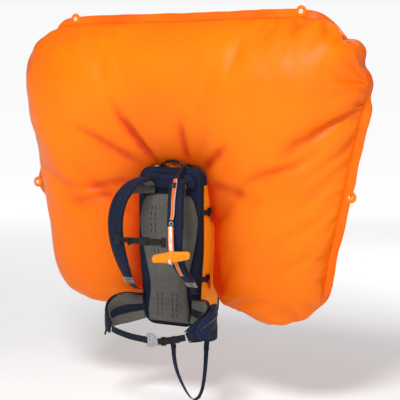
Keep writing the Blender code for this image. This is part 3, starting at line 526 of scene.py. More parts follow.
def stitch_mesh(bm, path, up, long, gap, radius):
    """A row of short raised stitches along the path. up is the surface's outward direction there."""
    points = spaced(path, gap)
    for i in range(len(points) - 1):
        a, b = points[i], points[i + 1]
        tangent = (b - a).normalized()
        out = up[min(int(i * len(up) / len(points)), len(up) - 1)] if isinstance(up, list) else up
        out = Vector(out).normalized()
        side = tangent.cross(out).normalized() * radius
        mid = (a + b) / 2
        half = tangent * long / 2
        ends = []
        for s, k in ((-1.0, 0.25), (-0.6, 1.0), (0.6, 1.0), (1.0, 0.25)):
            c = mid + half * s
            ends.append([bm.verts.new(c + side * k), bm.verts.new(c + out * radius * k),
                         bm.verts.new(c - side * k), bm.verts.new(c - out * radius * k * 0.6)])
        skin_loops(bm, ends, flat_ends=True)


def stitches(name, rows, look, body, long=0.0026, gap=0.0042, radius=0.00035):
    """rows is a list of (path, up)."""
    bm = bmesh.new()
    for path, up in rows:
        stitch_mesh(bm, path, up, long, gap, radius)
    return finish(name, bm, look, body)


# ---------------------------------------------------------------- simulation
def run_cloth(obj, frames, pressure, pin=None, tension=40.0, bending=0.02, quality=6):
    """Blow obj up with its own pressure and no gravity, and keep the result in its mesh."""
    mod = obj.modifiers.new("cloth", "CLOTH")
    cloth = mod.settings
    cloth.quality = quality
    cloth.mass = 0.3
    cloth.tension_stiffness = tension
    cloth.compression_stiffness = tension / 2
    cloth.shear_stiffness = tension / 4
    cloth.bending_stiffness = bending
    cloth.tension_damping = cloth.compression_damping = cloth.shear_damping = 10.0
    cloth.bending_damping = 0.5
    cloth.air_damping = 2.0
    cloth.use_pressure = True
    cloth.uniform_pressure_force = pressure
    cloth.effector_weights.gravity = 0.0
    if pin:
        cloth.vertex_group_mass = pin
        cloth.pin_stiffness = 1.0
    mod.collision_settings.use_collision = False
    mod.collision_settings.use_self_collision = False
    SCENE.frame_start, SCENE.frame_end = 1, frames
    mod.point_cache.frame_start, mod.point_cache.frame_end = 1, frames
    for at in range(1, frames + 1):
        SCENE.frame_set(at)
    graph = bpy.context.evaluated_depsgraph_get()
    result = bpy.data.meshes.new_from_object(obj.evaluated_get(graph))
    SCENE.frame_set(1)
    return result


def puff(bm, name, voxel=0.0045, pressure=4.0, frames=14, cap=0.006):
    """Remesh a closed shape, swell it with a short simulation, and return the mesh."""
    mesh = bpy.data.meshes.new(name + "_start")
    bmesh.ops.recalc_face_normals(bm, faces=bm.faces)
    bm.to_mesh(mesh)
    bm.free()
    obj = placed(name + "_start", mesh)
    remesh = obj.modifiers.new("remesh", "REMESH")
    remesh.mode = "VOXEL"
    remesh.voxel_size = voxel
    graph = bpy.context.evaluated_depsgraph_get()
    mesh = bpy.data.meshes.new_from_object(obj.evaluated_get(graph))
    bpy.data.objects.remove(obj)
    obj = placed(name + "_cloth", mesh)
    before = vert_array(mesh)
    result = run_cloth(obj, frames, pressure, None, 15.0, 0.3, 5)
    after = vert_array(result)
    move = after - before
    size = np.linalg.norm(move, axis=1, keepdims=True)
    after = before + move * np.minimum(1.0, cap / np.maximum(size, 1e-9))
    result.vertices.foreach_set("co", after.ravel())
    result.update()
    bpy.data.objects.remove(obj)
    return result


def vert_array(mesh):
    flat = np.zeros(len(mesh.vertices) * 3)
    mesh.vertices.foreach_get("co", flat)
    return flat.reshape(-1, 3)


# ---------------------------------------------------------------- leg loop
def make_leg_loop():
    facing, normal = Vector((0.883, 0.469, 0.0)), Vector((0.62, -0.78, 0.0))
    steps = len(spaced(curve_through(LEG_ROUTE, 8), 0.005))
    across = []
    for i in range(steps):
        twist = 0.3 + 0.62 * abs(2 * i / (steps - 1) - 1.0)
        across.append(facing * twist + normal * sqrt(1 - twist * twist))
    web = band("leg_loop_webbing", LEG_ROUTE, LEG_WEB, 0.0022, across, "web_navy", "hip_l",
               stands_for=("leg_loop",))
    rows = []
    for side in (-1, 1):
        line = spaced(curve_through(LEG_ROUTE, 8), 0.005)
        frames = frames_along(line, across)
        rows.append(([p + s * side * 0.0055 + u * 0.0012 for p, (_, s, u) in zip(line, frames)],
                     [u for _, _, u in frames]))
    stitches("leg_loop_stitches", rows, "thread", "hip_l", 0.003, 0.006, 0.0003)
    for word, route in (("front", [(0.0868, -0.138, -0.248), (0.0872, -0.134, -0.26),
                                   (0.0878, -0.123, -0.27), LEG_ROUTE[0], (0.0884, -0.1175, -0.286)]),
                        ("rear", [(0.17, -0.056, -0.242), (0.1695, -0.0552, -0.262),
                                  (0.1675, -0.055, -0.28), (0.167, -0.0552, -0.296)])):
        band("leg_loop_anchor_" + word, route, 0.016, 0.003, facing, "web_navy", "hip_l", gap=0.003)


make_leg_loop()


# ---------------------------------------------------------------- airbag
# Right half and left half of the gathered outer seam, and the flat pattern that is drawn in to it.
SEAM_R = (
    (0, .702), (.2, .704), (.36, .704), (.46, .694), (.512, .668), (.531, .638), (.57, .632), (.594, .604),
    (.59, .562), (.611, .532), (.617, .5), (.604, .468), (.603, .438), (.588, .385), (.558, .25),
    (.53, .12), (.503, .01), (.489, -.07), (.47, -.14), (.43, -.19), (.395, -.203), (.365, -.222),
    (.3, -.226), (.255, -.208), (.205, -.202), (.16, -.19),
)
FLAT_R = (
    (0, .785), (.2, .787), (.38, .787), (.5, .78), (.575, .755), (.617, .725), (.645, .695), (.663, .66),
    (.676, .62), (.683, .575), (.686, .535), (.685, .49), (.68, .44), (.668, .37), (.636, .23),
    (.606, .095), (.58, -.02), (.56, -.11), (.53, -.19), (.48, -.25), (.43, -.275), (.385, -.285),
    (.31, -.285), (.255, -.27), (.205, -.24), (.16, -.205),
)
SEAM_L = (
    (0, .702), (.2, .704), (.36, .704), (.46, .694), (.512, .668), (.545, .636), (.576, .6), (.592, .545),
    (.598, .48), (.588, .4), (.566, .3), (.545, .18), (.514, .04), (.488, -.07), (.445, -.155),
    (.4, -.185), (.355, -.2), (.3, -.207), (.255, -.205), (.205, -.2), (.16, -.19),
)
FLAT_L = (
    (0, .785), (.2, .787), (.38, .787), (.5, .78), (.59, .748), (.632, .705), (.662, .65), (.676, .585),
    (.68, .5), (.668, .4), (.645, .29), (.622, .16), (.59, .01), (.56, -.11), (.51, -.205),
    (.455, -.245), (.395, -.268), (.32, -.272), (.255, -.262), (.205, -.24), (.16, -.205),
)
BAG_SPACING = 0.012
BAG_FRAMES, DRAWN_IN_BY = 32, 13     # frames in all, and when the seam is fully gathered
BAG_PRESSURE, BAG_TENSION = 17.0, 55.0
GATHER_R, GATHER_L = 0.95, 0.92
NOTCH_GAP = -0.0016


def pack_half(z):
    if z >= 0.0:
        return PACK_HALF_TOP
    return PACK_HALF_TOP + (PACK_HALF_BOTTOM - PACK_HALF_TOP) * (z / -PACK_TOP)


def flat3(points, sign=1):
    return [(sign * x, 0.0, z) for x, z in points]


def seam_pair(seam, flat, sign, gather):
    """Matching points of the flat pattern and of the gathered seam."""
    cut, drawn = (curve_through(flat3(p, sign), 8) for p in (flat, seam))
    runs = running(cut)
    count = round(runs[-1] / BAG_SPACING)
    one, two, j = [], [], 0
    for k in range(count + 1):
        s = runs[-1] * k / count
        while j < len(runs) - 2 and runs[j + 1] < s:
            j += 1
        t = min(1.0, (s - runs[j]) / max(runs[j + 1] - runs[j], 1e-9))
        seamed = drawn[j].lerp(drawn[j + 1], t)
        one.append(seamed.lerp(cut[j].lerp(cut[j + 1], t), gather))
        two.append(seamed)
    return one, two


def notch_line():
    radius, top = PACK_CORNER, PACK_TOP + NOTCH_GAP
    half = PACK_HALF_TOP + NOTCH_GAP
    pts = [(0.0, top)]
    for k in range(9):
        a = pi / 2 * k / 8
        pts.append((half - radius + sin(a) * radius, top - radius + cos(a) * radius))
    pts += [(half, 0.1), (half, 0.0), (pack_half(-0.12) + 0.002, -0.12), (0.124, -0.158), (0.137, -0.18)]
    return spaced([Vector(p) for p in flat3(pts)], BAG_SPACING)


def inside(poly, pts):
    x, y = pts[:, 0], pts[:, 1]
    found = np.zeros(len(pts), bool)
    for (x1, y1), (x2, y2) in zip(poly, np.roll(poly, -1, 0)):
        crosses = (y1 > y) != (y2 > y)
        at = (x2 - x1) * (y - y1) / (y2 - y1 + 1e-15) + x1
        found ^= crosses & (x < at)
    return found


def edge_distance(poly, pts):
    best = np.full(len(pts), 9.0)
    for a, b in zip(poly, np.roll(poly, -1, 0)):
        ab = b - a
        t = np.clip(((pts - a) @ ab) / (ab @ ab + 1e-15), 0, 1)
        best = np.minimum(best, np.hypot(*(pts - (a + t[:, None] * ab)).T))
    return best


def bag_mesh(loop):
    """Front and back sheet over the flat pattern, sharing their edge. Returns it and the edge's vertices."""
    rng = random.Random(4)
    poly = np.array([(p.x, p.z) for p in loop])
    grid, row, z = [], 0, poly[:, 1].min()
    while z < poly[:, 1].max():
        x = poly[:, 0].min() + (BAG_SPACING / 2 if row % 2 else 0)
        while x < poly[:, 0].max():
            grid.append((x + rng.uniform(-.25, .25) * BAG_SPACING, z + rng.uniform(-.25, .25) * BAG_SPACING))
            x += BAG_SPACING
        z += BAG_SPACING * 0.866
        row += 1
    grid = np.array(grid)
    grid = grid[inside(poly, grid)]
    grid = grid[edge_distance(poly, grid) > BAG_SPACING * 0.55]
    count = len(poly)
    points = [Vector((a, b)) for a, b in poly] + [Vector((a, b)) for a, b in grid]
    made = delaunay_2d_cdt(points, [(i, (i + 1) % count) for i in range(count)], [], 1, 1e-7)
    flat = np.array([(v.x, v.y) for v in made[0]])
    away = edge_distance(poly, flat)
    edge = away < 1e-6
    faces = [f for f in made[2]]
    centres = np.array([flat[list(f)].mean(0) for f in faces])
    faces = [f for f, good in zip(faces, inside(poly, centres)) if good]
    total, behind = len(flat), np.arange(len(flat))
    for i in np.nonzero(~edge)[0]:
        behind[i] = total
        total += 1
    co = np.zeros((total, 3))
    swell = 0.03 * (1 - np.exp(-away / 0.08))
    co[:len(flat)] = np.column_stack((flat[:, 0], SEAM_Y - swell, flat[:, 1]))
    free = ~edge
    co[behind[free]] = np.column_stack((flat[free, 0], SEAM_Y + swell[free], flat[free, 1]))
    every = [tuple(f) for f in faces] + [tuple(int(v) for v in behind[list(f)][::-1]) for f in faces]
    mesh = bpy.data.meshes.new("airbag_pattern")
    mesh.from_pydata([tuple(c) for c in co], [], every)
    bm = bmesh.new()
    bm.from_mesh(mesh)
    bmesh.ops.recalc_face_normals(bm, faces=bm.faces)
    if bm.calc_volume() < 0:
        bmesh.ops.reverse_faces(bm, faces=bm.faces)
    bm.to_mesh(mesh)
    bm.free()
    ring = [int(np.argmin(np.hypot(*(flat - q).T))) for q in poly]
    return mesh, ring


def seat(p):
    """Depth at which the seam is held: it comes forward where it lies on the pack's top corners."""
    if abs(p.x) > PACK_HALF_TOP + 0.002 or p.z > PACK_TOP + 0.01:
        return SEAM_Y
    return float(np.interp(p.z, [0.06, 0.13, 0.205, 0.25], [SEAM_Y, 0.078, 0.056, 0.06]))


# Tension creases on the front sheet, from far out in to the pack's top corners: points, depth, width.
CREASES = (
    (((-0.385, 0.405), (-0.24, 0.335), (-0.118, 0.258)), 0.0085, 0.012),
    (((-0.205, 0.5), (-0.14, 0.385), (-0.068, 0.262)), 0.011, 0.012),
    (((0.073, 0.44), (0.056, 0.35), (0.05, 0.262)), 0.0095, 0.0115),
    (((0.235, 0.335), (0.175, 0.29), (0.106, 0.245)), 0.011, 0.013),
    (((-0.41, 0.192), (-0.28, 0.18), (-0.145, 0.204)), 0.006, 0.0125),
    (((-0.4, 0.14), (-0.31, 0.135), (-0.215, 0.16)), 0.0045, 0.012),
    (((0.335, 0.16), (0.235, 0.18), (0.13, 0.208)), 0.0045, 0.013),
)


CREASE_PAINTED_SHADE = 0.24               # most painted shade that a crease adds
TAUT_ROUNDS, TAUT_SHARE = 5, 0.85
# most painted shade anywhere on the bag
MOST_PAINTED_SHADE = 0.92


def creases(co):
    """How far each point of the front sheet is drawn in along the creases, and how much painted shade it gets
    there.
    """
    push, red = np.zeros(len(co)), np.zeros(len(co))
    front = co[:, 1] < SEAM_Y - 0.004
    for points, depth, width in CREASES:
        line = np.array([(p.x, p.z) for p in curve_through(flat3(points), 10)])
        place = np.linspace(0.0, 1.0, len(line))
        gaps = np.hypot(co[:, 0][:, None] - line[:, 0], co[:, 2][:, None] - line[:, 1])
        near = gaps.argmin(axis=1)
        gap, along = gaps.min(axis=1), place[near]
        fade = np.clip(along * 2.2, 0, 1) ** 1.3 * np.clip((1.06 - along) * 5, 0.35, 1)
        push = np.maximum(push, depth * fade * np.exp(-(gap / width) ** 2) * front)
        # red is the painted shade along each crease.
        red = np.maximum(red, CREASE_PAINTED_SHADE * fade * np.exp(-(gap / (width * 1.5)) ** 2) * front)
    return push, red


def tauten_and_paint_shade(mesh, ring):
    """Draw the sheets taut, press the creases in, and set a painted shade as an attribute: a deeper
    red in folds and creases, close round the pack, towards the far edges, low down and in the upper
    left corner. The seam's own points, ring, stay where they are."""
    mesh.update()
    co = vert_array(mesh)
    normals = np.zeros(len(co) * 3)
    mesh.vertices.foreach_get("normal", normals)
    normals = normals.reshape(-1, 3)
    ends = np.zeros(len(mesh.edges) * 2, dtype=np.int32)
    mesh.edges.foreach_get("vertices", ends)
    ends = ends.reshape(-1, 2)
    count = np.bincount(ends.ravel(), minlength=len(co)).astype(float)

    def spread_out(values):
        total = np.zeros_like(values)
        np.add.at(total, ends[:, 0], values[ends[:, 1]])
        np.add.at(total, ends[:, 1], values[ends[:, 0]])
        return total / (count[:, None] if values.ndim == 2 else count)

    off = np.abs(co[:, 1] - SEAM_Y)
    left = np.clip((-co[:, 0] - 0.25) / 0.1, 0, 1)
    loose = np.ones(len(co))
    loose[ring] = 0.0
    for _ in range(2):
        loose = np.minimum(loose, spread_out(loose))
    right = np.clip((co[:, 0] - 0.22) / 0.18, 0, 1)
    share = (np.clip(off / (0.06 - 0.045 * left), 0, 1) * loose * (1 - 0.62 * right))[:, None] * TAUT_SHARE
    for _ in range(TAUT_ROUNDS):
        co = co + (spread_out(co) - co) * share
    push, crease_shade = creases(co)
    co = co + normals * -push[:, None]
    mesh.vertices.foreach_set("co", co.ravel())
    mesh.update()
    fine = spread_out(co)
    # Painted shade in the hollows of the sheet: valley finds small folds, broad wide ones; with the creases'
    # share they give a deeper red.
    valley = np.einsum("ij,ij->i", fine - co, normals) / BAG_SPACING
    wide = co
    for _ in range(5):
        wide = spread_out(wide)
    broad = np.einsum("ij,ij->i", wide - co, normals) / BAG_SPACING
    value = np.clip(valley * 5.0, 0, 1) * 0.25 + np.clip(broad * 1.6, 0, 1) * 0.45 + crease_shade
    value = spread_out(value) * 0.5 + value * 0.5
    # More painted shade: close round the pack's top (near), beside its sides (side), towards the far edges
    # (rim), low down (low) and in the upper left corner.
    dx = np.maximum(np.abs(co[:, 0]) - 0.07, 0)
    dz = np.maximum(co[:, 2] - 0.2, 0)
    near = np.exp(-np.hypot(dx, dz) / 0.075) * (co[:, 2] > -0.15) * 1.15
    side = np.exp(-np.maximum(np.abs(co[:, 0]) - 0.112, 0) / 0.036) * (co[:, 2] < 0.2) * 0.8
    rim = np.clip((np.abs(co[:, 0]) - 0.5) / 0.1, 0, 1) ** 2 * 0.22
    low = np.clip((0.12 - co[:, 2]) / 0.34, 0, 1) * 0.16
    corner_shade = np.clip((-co[:, 0] - 0.36) / 0.22, 0, 1) * np.clip((co[:, 2] - 0.3) / 0.36, 0, 1) * 0.4
    value = np.clip(value + near + side + rim + low + corner_shade, 0, MOST_PAINTED_SHADE)
    # The attribute deep carries this painted shade to the material.
    mesh.attributes.new("deep", "FLOAT", "POINT").data.foreach_set("value", value.astype(np.float32))


def make_airbag():
    cut_r, seam_r = seam_pair(SEAM_R, FLAT_R, 1, GATHER_R)
    cut_l, seam_l = seam_pair(SEAM_L, FLAT_L, -1, GATHER_L)
    inner = notch_line()
    mirrored = [Vector((-p.x, p.y, p.z)) for p in inner]
    arms = inner[::-1][:-1] + mirrored[:-1]
    loop = cut_r + arms + cut_l[::-1][:-1]
    drawn = seam_r + arms + seam_l[::-1][:-1]
    mesh, ring = bag_mesh(loop)
    bag = placed("airbag_pattern", mesh)
    bag.vertex_groups.new(name="pin").add(ring, 1.0, "REPLACE")
    bag.shape_key_add(name="Basis")
    key = bag.shape_key_add(name="gather")
    for index, p in zip(ring, drawn):
        key.data[index].co = (p.x, seat(p), p.z)
    key.value = 0.0
    key.keyframe_insert("value", frame=1)
    key.value = 1.0
    key.keyframe_insert("value", frame=DRAWN_IN_BY)
    result = run_cloth(bag, BAG_FRAMES, BAG_PRESSURE, "pin", BAG_TENSION)
    tauten_and_paint_shade(result, ring)
    bag.animation_data_clear()
    bpy.data.objects.remove(bag)
    skin = finish("airbag_skin", result, "airbag", "pack", ("airbag",), subsurf=1)
    make_flange(seam_l[::-1][:-1] + seam_r)


def smoothed(path, reach):
    """Path averaged over reach points each way."""
    out = []
    for i in range(len(path)):
        near = path[max(0, i - reach):i + reach + 1]
        out.append(sum(near, Vector()) / len(near))
    return out


def laid_back(p):
    """How far the border is turned back behind the bag at a point of the seam, 0 to 1."""
    if p.x > 0 and -0.13 < p.z < 0.44:
        return 0.0
    if -0.47 < p.x < 0.46 and p.z > 0.6:
        return 0.0
    if abs(p.z - 0.175) < 0.035:
        return 0.0
    return 1.0


FLANGE_WIDE = 0.0265
FLANGE_TUCK = 0.0045            # how far the border starts inside the seam
FLANGE_LEAN = 82                # degrees, where the border is laid back
TAB_RINGS = ((0.006, 0.001), (0.0062, 0.0017), (0.0115, 0.0019), (0.0165, 0.0017), (0.0178, 0.0))


def make_flange(seam):
    """Flat welded border outside the seam, with its two rows of stitching and its eyelet tabs."""
    seam = spaced([Vector((p.x, SEAM_Y, p.z)) for p in seam], 0.008)
    calm = smoothed(seam, 5)
    normals = []
    for i in range(len(calm)):
        along = (calm[min(i + 1, len(calm) - 1)] - calm[max(i - 1, 0)]).normalized()
        normals.append(Vector((-along.z, 0.0, along.x)))
    normals = [n.normalized() for n in smoothed(normals, 5)]
    backs = [Vector((laid_back(p), 0.0, 0.0)) for p in seam]
    backs = [b.x for b in smoothed(smoothed(backs, 4), 4)]
    bm = bmesh.new()
    rows = []
    for i, (p, c, out, back) in enumerate(zip(seam, calm, normals, backs)):
        wide = FLANGE_WIDE + 0.003 * noise.noise(Vector((i * 0.11, 3.0, 0.0)))
        lean = radians(FLANGE_LEAN) * back
        inner = p - out * FLANGE_TUCK
        rim = c.lerp(p, back) + (out * cos(lean) + Vector((0, 1, 0)) * sin(lean)) * wide
        row = []
        for k in range(7):
            t = k / 6
            at = inner.lerp(rim, t)
            ripple = noise.noise(Vector((at.x * 26, at.z * 26, 1.7))) * 0.0055
            ripple += noise.noise(Vector((at.x * 70, at.z * 70, 4.2))) * 0.0018
            at.y += ripple * t
            row.append(bm.verts.new(at))
        rows.append(row)
    sheet_faces(bm, rows)
    lines = []
    for share, side in ((0.22, -1), (0.86, -1), (0.22, 1), (0.86, 1)):
        path = []
        for row in rows:
            k = share * 6
            a, b = row[int(k)].co, row[min(int(k) + 1, 6)].co
            path.append(a.lerp(b, k - int(k)) + Vector((0, side * 0.0008, 0)))
        lines.append((path, Vector((0, side, 0))))
    obj = finish("airbag_flange_skin", bm, "airbag", "pack", ("airbag_flange",))
    # Painted shade on the border: a deeper red all along, with random variation from the noise.
    flange_shade_and_tone = [0.3 + 0.25 * noise.noise(v.co * 9.0) for v in obj.data.vertices]
    obj.data.attributes.new("deep", "FLOAT", "POINT").data.foreach_set("value", flange_shade_and_tone)
    thicken(obj, 0.0012)
    stitches("flange_stitches", lines, "thread_orange", "pack", 0.0042, 0.0066, 0.00055)
    for tag in ("eyelet_top_l", "eyelet_top_r", "eyelet_side_l", "eyelet_side_r"):
        low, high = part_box(tag)
        cx, cz = (low[0] + high[0]) / 2, (low[2] + high[2]) / 2
        tab = bmesh.new()
        rings = []
        for radius, deep in TAB_RINGS:
            rings.append([(cx + radius * cos(t), deep, cz + radius * sin(t)) for t in turns(28)])
        for side in (-1, 1):
            loops = [[tab.verts.new((x, SEAM_Y + side * d, z)) for x, d, z in ring] for ring in rings]
            skin_loops(tab, loops)
        bmesh.ops.remove_doubles(tab, verts=tab.verts, dist=0.00005)
        finish("tab_" + tag, tab, "airbag", "pack")
        row = [(cx + 0.0138 * cos(t), SEAM_Y - 0.0021, cz + 0.0138 * sin(t))
               for t in (2 * pi * k / 24 for k in range(25))]
        stitches("tab_stitch_" + tag, [([Vector(p) for p in row], TO_WEARER)], "thread_orange",
                 "pack", 0.002, 0.0034, 0.0004)


make_airbag()


# ---------------------------------------------------------------- pack shell
def arc_points(cx, cz, radius, start, end, steps):
    return [(cx + radius * cos(radians(start + (end - start) * i / steps)),
             cz + radius * sin(radians(start + (end - start) * i / steps)))
            for i in range(steps + 1)]


def pack_loop(grow, count=176):
    """Closed outline of the pack in X and Z, grown by grow, as count evenly spaced points."""
    top, bottom = PACK_TOP + grow, -PACK_TOP - grow
    radius = PACK_CORNER + grow
    upper, lower = PACK_HALF_TOP + grow - radius, PACK_HALF_BOTTOM + grow - radius
    pts = arc_points(upper, top - radius, radius, 0, 90, 10)
    pts += arc_points(-upper, top - radius, radius, 90, 180, 10)
    pts.append((-PACK_HALF_TOP - grow, 0.0))
    pts += arc_points(-lower, bottom + radius, radius, 180, 270, 10)
    pts += arc_points(lower, bottom + radius, radius, 270, 360, 10)
    pts.append((PACK_HALF_TOP + grow, 0.0))
    pts.append(pts[0])
    line = [Vector((x, 0.0, z)) for x, z in pts]
    runs = running(line)
    out, j = [], 0
    for k in range(count):
        s = runs[-1] * k / count
        while runs[j + 1] < s:
            j += 1
        out.append(line[j].lerp(line[j + 1], (s - runs[j]) / (runs[j + 1] - runs[j])))
    return out


def make_pack_shell():
    bm = bmesh.new()
    inset = 0.008
    stack = [(-0.06, PACK_FRONT + 0.0008), (-0.04, PACK_FRONT + 0.0004), (-0.022, PACK_FRONT + 0.0002),
             (-0.012, PACK_FRONT + 0.0003), (-0.0075, PACK_FRONT + 0.0006), (-0.0035, PACK_FRONT + 0.0022),
             (-0.0012, PACK_FRONT + 0.005), (0.0, PACK_FRONT + inset)]
    stack += [(0.0, PACK_FRONT + inset + (PACK_REAR - PACK_FRONT - inset) * k / 16) for k in range(1, 17)]
    loops = []
    for i, (grow, y) in enumerate(stack):
        loop = []
        for p in pack_loop(grow):
            out = Vector((p.x, 0.0, p.z * 0.35)).normalized()
            crease = noise.noise(Vector((p.x * 17, y * 30, p.z * 17))) * 0.5 - 0.5
            fine = noise.noise(Vector((p.x * 48, y * 60, p.z * 48))) * 0.3
            share = min(1.0, i / 8) if i < 22 else 0.3
            loop.append(bm.verts.new(Vector((p.x, y, p.z)) + out * (crease + fine) * 0.0022 * share))
        loops.append(loop)
    skin_loops(bm, loops, cap_first=True)
    mouth = [f for f in bm.faces if abs(f.calc_center_median().x) < 0.06
             and 0.042 < f.calc_center_median().y < 0.119 and f.calc_center_median().z > 0.235]
    bmesh.ops.delete(bm, geom=mouth, context="FACES")
    bmesh.ops.recalc_face_normals(bm, faces=bm.faces)
    thicken(finish("pack_shell_skin", bm, "navy", "pack", ("pack_shell",)), 0.0022, -1.0)
    front = [Vector((p.x, PACK_FRONT + 0.0026, p.z)) for p in pack_loop(-0.0022)]
    rod("pack_front_piping", front, 0.0024, "binding", "pack", closed=True, gap=0)
    seam = [Vector((p.x, 0.0265, p.z)) for p in pack_loop(0.0004)]
    rows = [(seam + [seam[0]], [Vector((p.x, 0, p.z)) for p in seam])]
    stitches("pack_edge_stitches", rows, "thread", "pack", 0.003, 0.0052, 0.0004)
    track = pack_loop(0.0006)
    low = -0.062
    run = [p for p in track if p.z > low]
    start = max(range(len(run)), key=lambda i: (run[i] - run[i - 1]).length)
    run = run[start:] + run[:start]
    outs = [Vector((p.x, 0, p.z * 0.4)).normalized() for p in run]
    band("zip_tape", [(p.x, 0.1555, p.z) for p in run[::3]] + [(run[-1].x, 0.1555, run[-1].z)], 0.015,
         0.001, ALONG_Y, "web", "pack", gap=0.006)
    teeth = [Vector((p.x, 0.16, p.z)) + o * 0.0009 for p, o in zip(run, outs)]
    stitches("zip_teeth", [(teeth, outs)], "plastic", "pack", 0.0014, 0.0021, 0.0012)


def make_main_flap():
    bm = bmesh.new()
    stack = [(-0.003, PACK_REAR + 0.0006), (-0.0004, PACK_REAR + 0.0022), (0.0, PACK_REAR + 0.004),
             (-0.003, PACK_REAR + 0.0068), (-0.009, PACK_REAR + 0.0088), (-0.02, PACK_REAR + 0.0098),
             (-0.04, PACK_REAR + 0.0104), (-0.065, PACK_REAR + 0.0104)]
    loops = []
    for i, (grow, y) in enumerate(stack):
        loop = []
        for p in pack_loop(grow):
            crease = noise.noise(Vector((p.x * 22, 8.0, p.z * 22))) * 0.0022 if i > 2 else 0.0
            loop.append(bm.verts.new((p.x, y + crease - (0.0011 if i > 2 else 0.0), p.z)))
        loops.append(loop)
    skin_loops(bm, loops, cap_first=True, cap_last=True)
    finish("main_flap_skin", bm, "navy", "main_flap", ("main_flap",))
    rim = [Vector((p.x, PACK_REAR + 0.0062, p.z)) for p in pack_loop(-0.0022)]
    rod("flap_piping", rim, 0.0017, "binding", "main_flap", closed=True, gap=0)
    for k, x in enumerate((-0.056, 0.056)):
        route = [(x, PACK_REAR + 0.0112, 0.205), (x * 0.96, PACK_REAR + 0.0118, 0.05),
                 (x * 0.92, PACK_REAR + 0.0118, -0.1), (x * 0.88, PACK_REAR + 0.0112, -0.215)]
        band(f"flap_daisy_{k}", route, 0.018, 0.0012, ALONG_X, "web", "main_flap")
    rows = []
    for z in (0.16, 0.1, 0.04, -0.02, -0.08, -0.14):
        for x in (-0.056, 0.056):
            cx = x * (0.96 if z > 0 else 0.93)
            rows.append(([Vector((cx + half, PACK_REAR + 0.0134, z)) for half in (-0.008, 0.008)],
                         Vector((0, 1, 0))))
    stitches("flap_bartacks", rows, "thread_orange", "main_flap", 0.003, 0.0034, 0.0007)


def make_sides(sign, tag):
    """Orange side panel that swells between its straps, the straps, and their red tabs."""
    bm = bmesh.new()
    high, wide = 80, 26
    rows = []
    for i in range(high + 1):
        z = -0.195 + 0.39 * i / high
        row = []
        for k in range(wide + 1):
            y = 0.03 + 0.12 * k / wide
            u, v = 2 * k / wide - 1, 2 * i / high - 1
            puffed = (1 - abs(u) ** 3.2) * (1 - abs(v) ** 9)
            pinch = 1 - 0.72 * sum(exp(-((z - s) / 0.02) ** 2) for s in (0.112, -0.098)) * (y < 0.095)
            swell = 0.0052 * max(puffed, 0) * max(pinch, 0.1)
            swell += 0.0009 * noise.noise(Vector((y * 60, z * 42, sign * 3.0))) * max(puffed, 0)
            row.append(bm.verts.new((sign * (pack_half(z) + 0.0007 + swell), y, z)))
        rows.append(row)
    sheet_faces(bm, rows)
    if sign < 0:
        bmesh.ops.reverse_faces(bm, faces=bm.faces)
    thicken(finish("side_panel_skin_" + tag, bm, "orange", "pack", ("side_panel_" + tag,)), 0.0008)
    out = Vector((sign, 0, 0))
    lines = []
    for y in (0.0345, 0.1455):
        lines.append(([Vector((sign * (pack_half(z) + 0.0024), y, z))
                       for z in (-0.19 + 0.38 * i / 30 for i in range(31))], out))
    for z in (0.1905, -0.1905):
        x = sign * (pack_half(z) + 0.0016)
        lines.append(([Vector((x, 0.036 + 0.108 * i / 8, z)) for i in range(9)], out))
    stitches("side_stitches_" + tag, lines, "thread_orange", "pack", 0.003, 0.0048, 0.0004)
    edge = [(sign * (pack_half(z) + 0.0008), 0.029, z) for z in (-0.196, -0.1, 0.0, 0.1, 0.196)]
    band("side_binding_" + tag, edge, 0.006, 0.0024, ALONG_Y, "web", "pack")
    for word, z in (("upper", 0.112), ("lower", -0.098)):
        half = pack_half(z)
        route = [(sign * (half + 0.003), 0.032, z), (sign * (half + 0.0046), 0.04, z),
                 (sign * (half + 0.005), 0.06, z), (sign * (half + 0.0046), 0.074, z),
                 (sign * (half + 0.0022), 0.083, z)]
        band(f"side_strap_{word}_skin_{tag}", route, 0.016, 0.0013, UP, "web", "pack",
             stands_for=(f"side_strap_{word}_{tag}",), gap=0.003)
        drop = [(sign * (half + 0.009), 0.064, z - 0.006), (sign * (half + 0.0098), 0.068, z - 0.012),
                (sign * (half + 0.0088), 0.069, z - 0.022), (sign * (half + 0.008), 0.068, z - 0.034)]
        band(f"side_tab_{word}_{tag}", drop, 0.01, 0.0013, (0, 1, 0.1), "red", "pack", gap=0.003)


def make_haul_loop():
    y = 0.0305
    route = [(-0.048, y, PACK_TOP + 0.0013), (-0.04, y, PACK_TOP + 0.004), (-0.024, y, PACK_TOP + 0.015),
             (0.0, y, PACK_TOP + 0.0185), (0.024, y, PACK_TOP + 0.015), (0.04, y, PACK_TOP + 0.004),
             (0.048, y, PACK_TOP + 0.0013)]
    band("haul_loop_webbing", route, 0.014, 0.002, ALONG_Y, "web", "pack", stands_for=("haul_loop",),
         gap=0.002)
    sleeve = [(-0.021, y, PACK_TOP + 0.0165), (0.0, y, PACK_TOP + 0.0186), (0.021, y, PACK_TOP + 0.0165)]
    rod("haul_loop_sleeve", sleeve, 0.0046, "binding", "pack", sides=14, gap=0.002)


def make_neck():
    """Gathered fabric collar from the inflator up to the airbag."""
    x, y = 0.0, 0.08
    bm = bmesh.new()
    loops = []
    for z, radius, depth in ((0.2212, 0.0352, 0.0), (0.225, 0.0355, 0.0002), (0.23, 0.0355, 0.0002),
                             (0.2345, 0.0356, 0.0006), (0.24, 0.0372, 0.0022), (0.2465, 0.038, 0.003),
                             (0.256, 0.039, 0.0036)):
        loops.append([bm.verts.new((x + (radius + depth * sin(13 * t)) * cos(t),
                                    y + (radius + depth * sin(13 * t)) * sin(t), z))
                      for t in turns(104)])
    skin_loops(bm, loops)
    thicken(finish("inflation_neck_fabric", bm, "airbag", "pack", ("inflation_neck",)), 0.0012, -1.0)


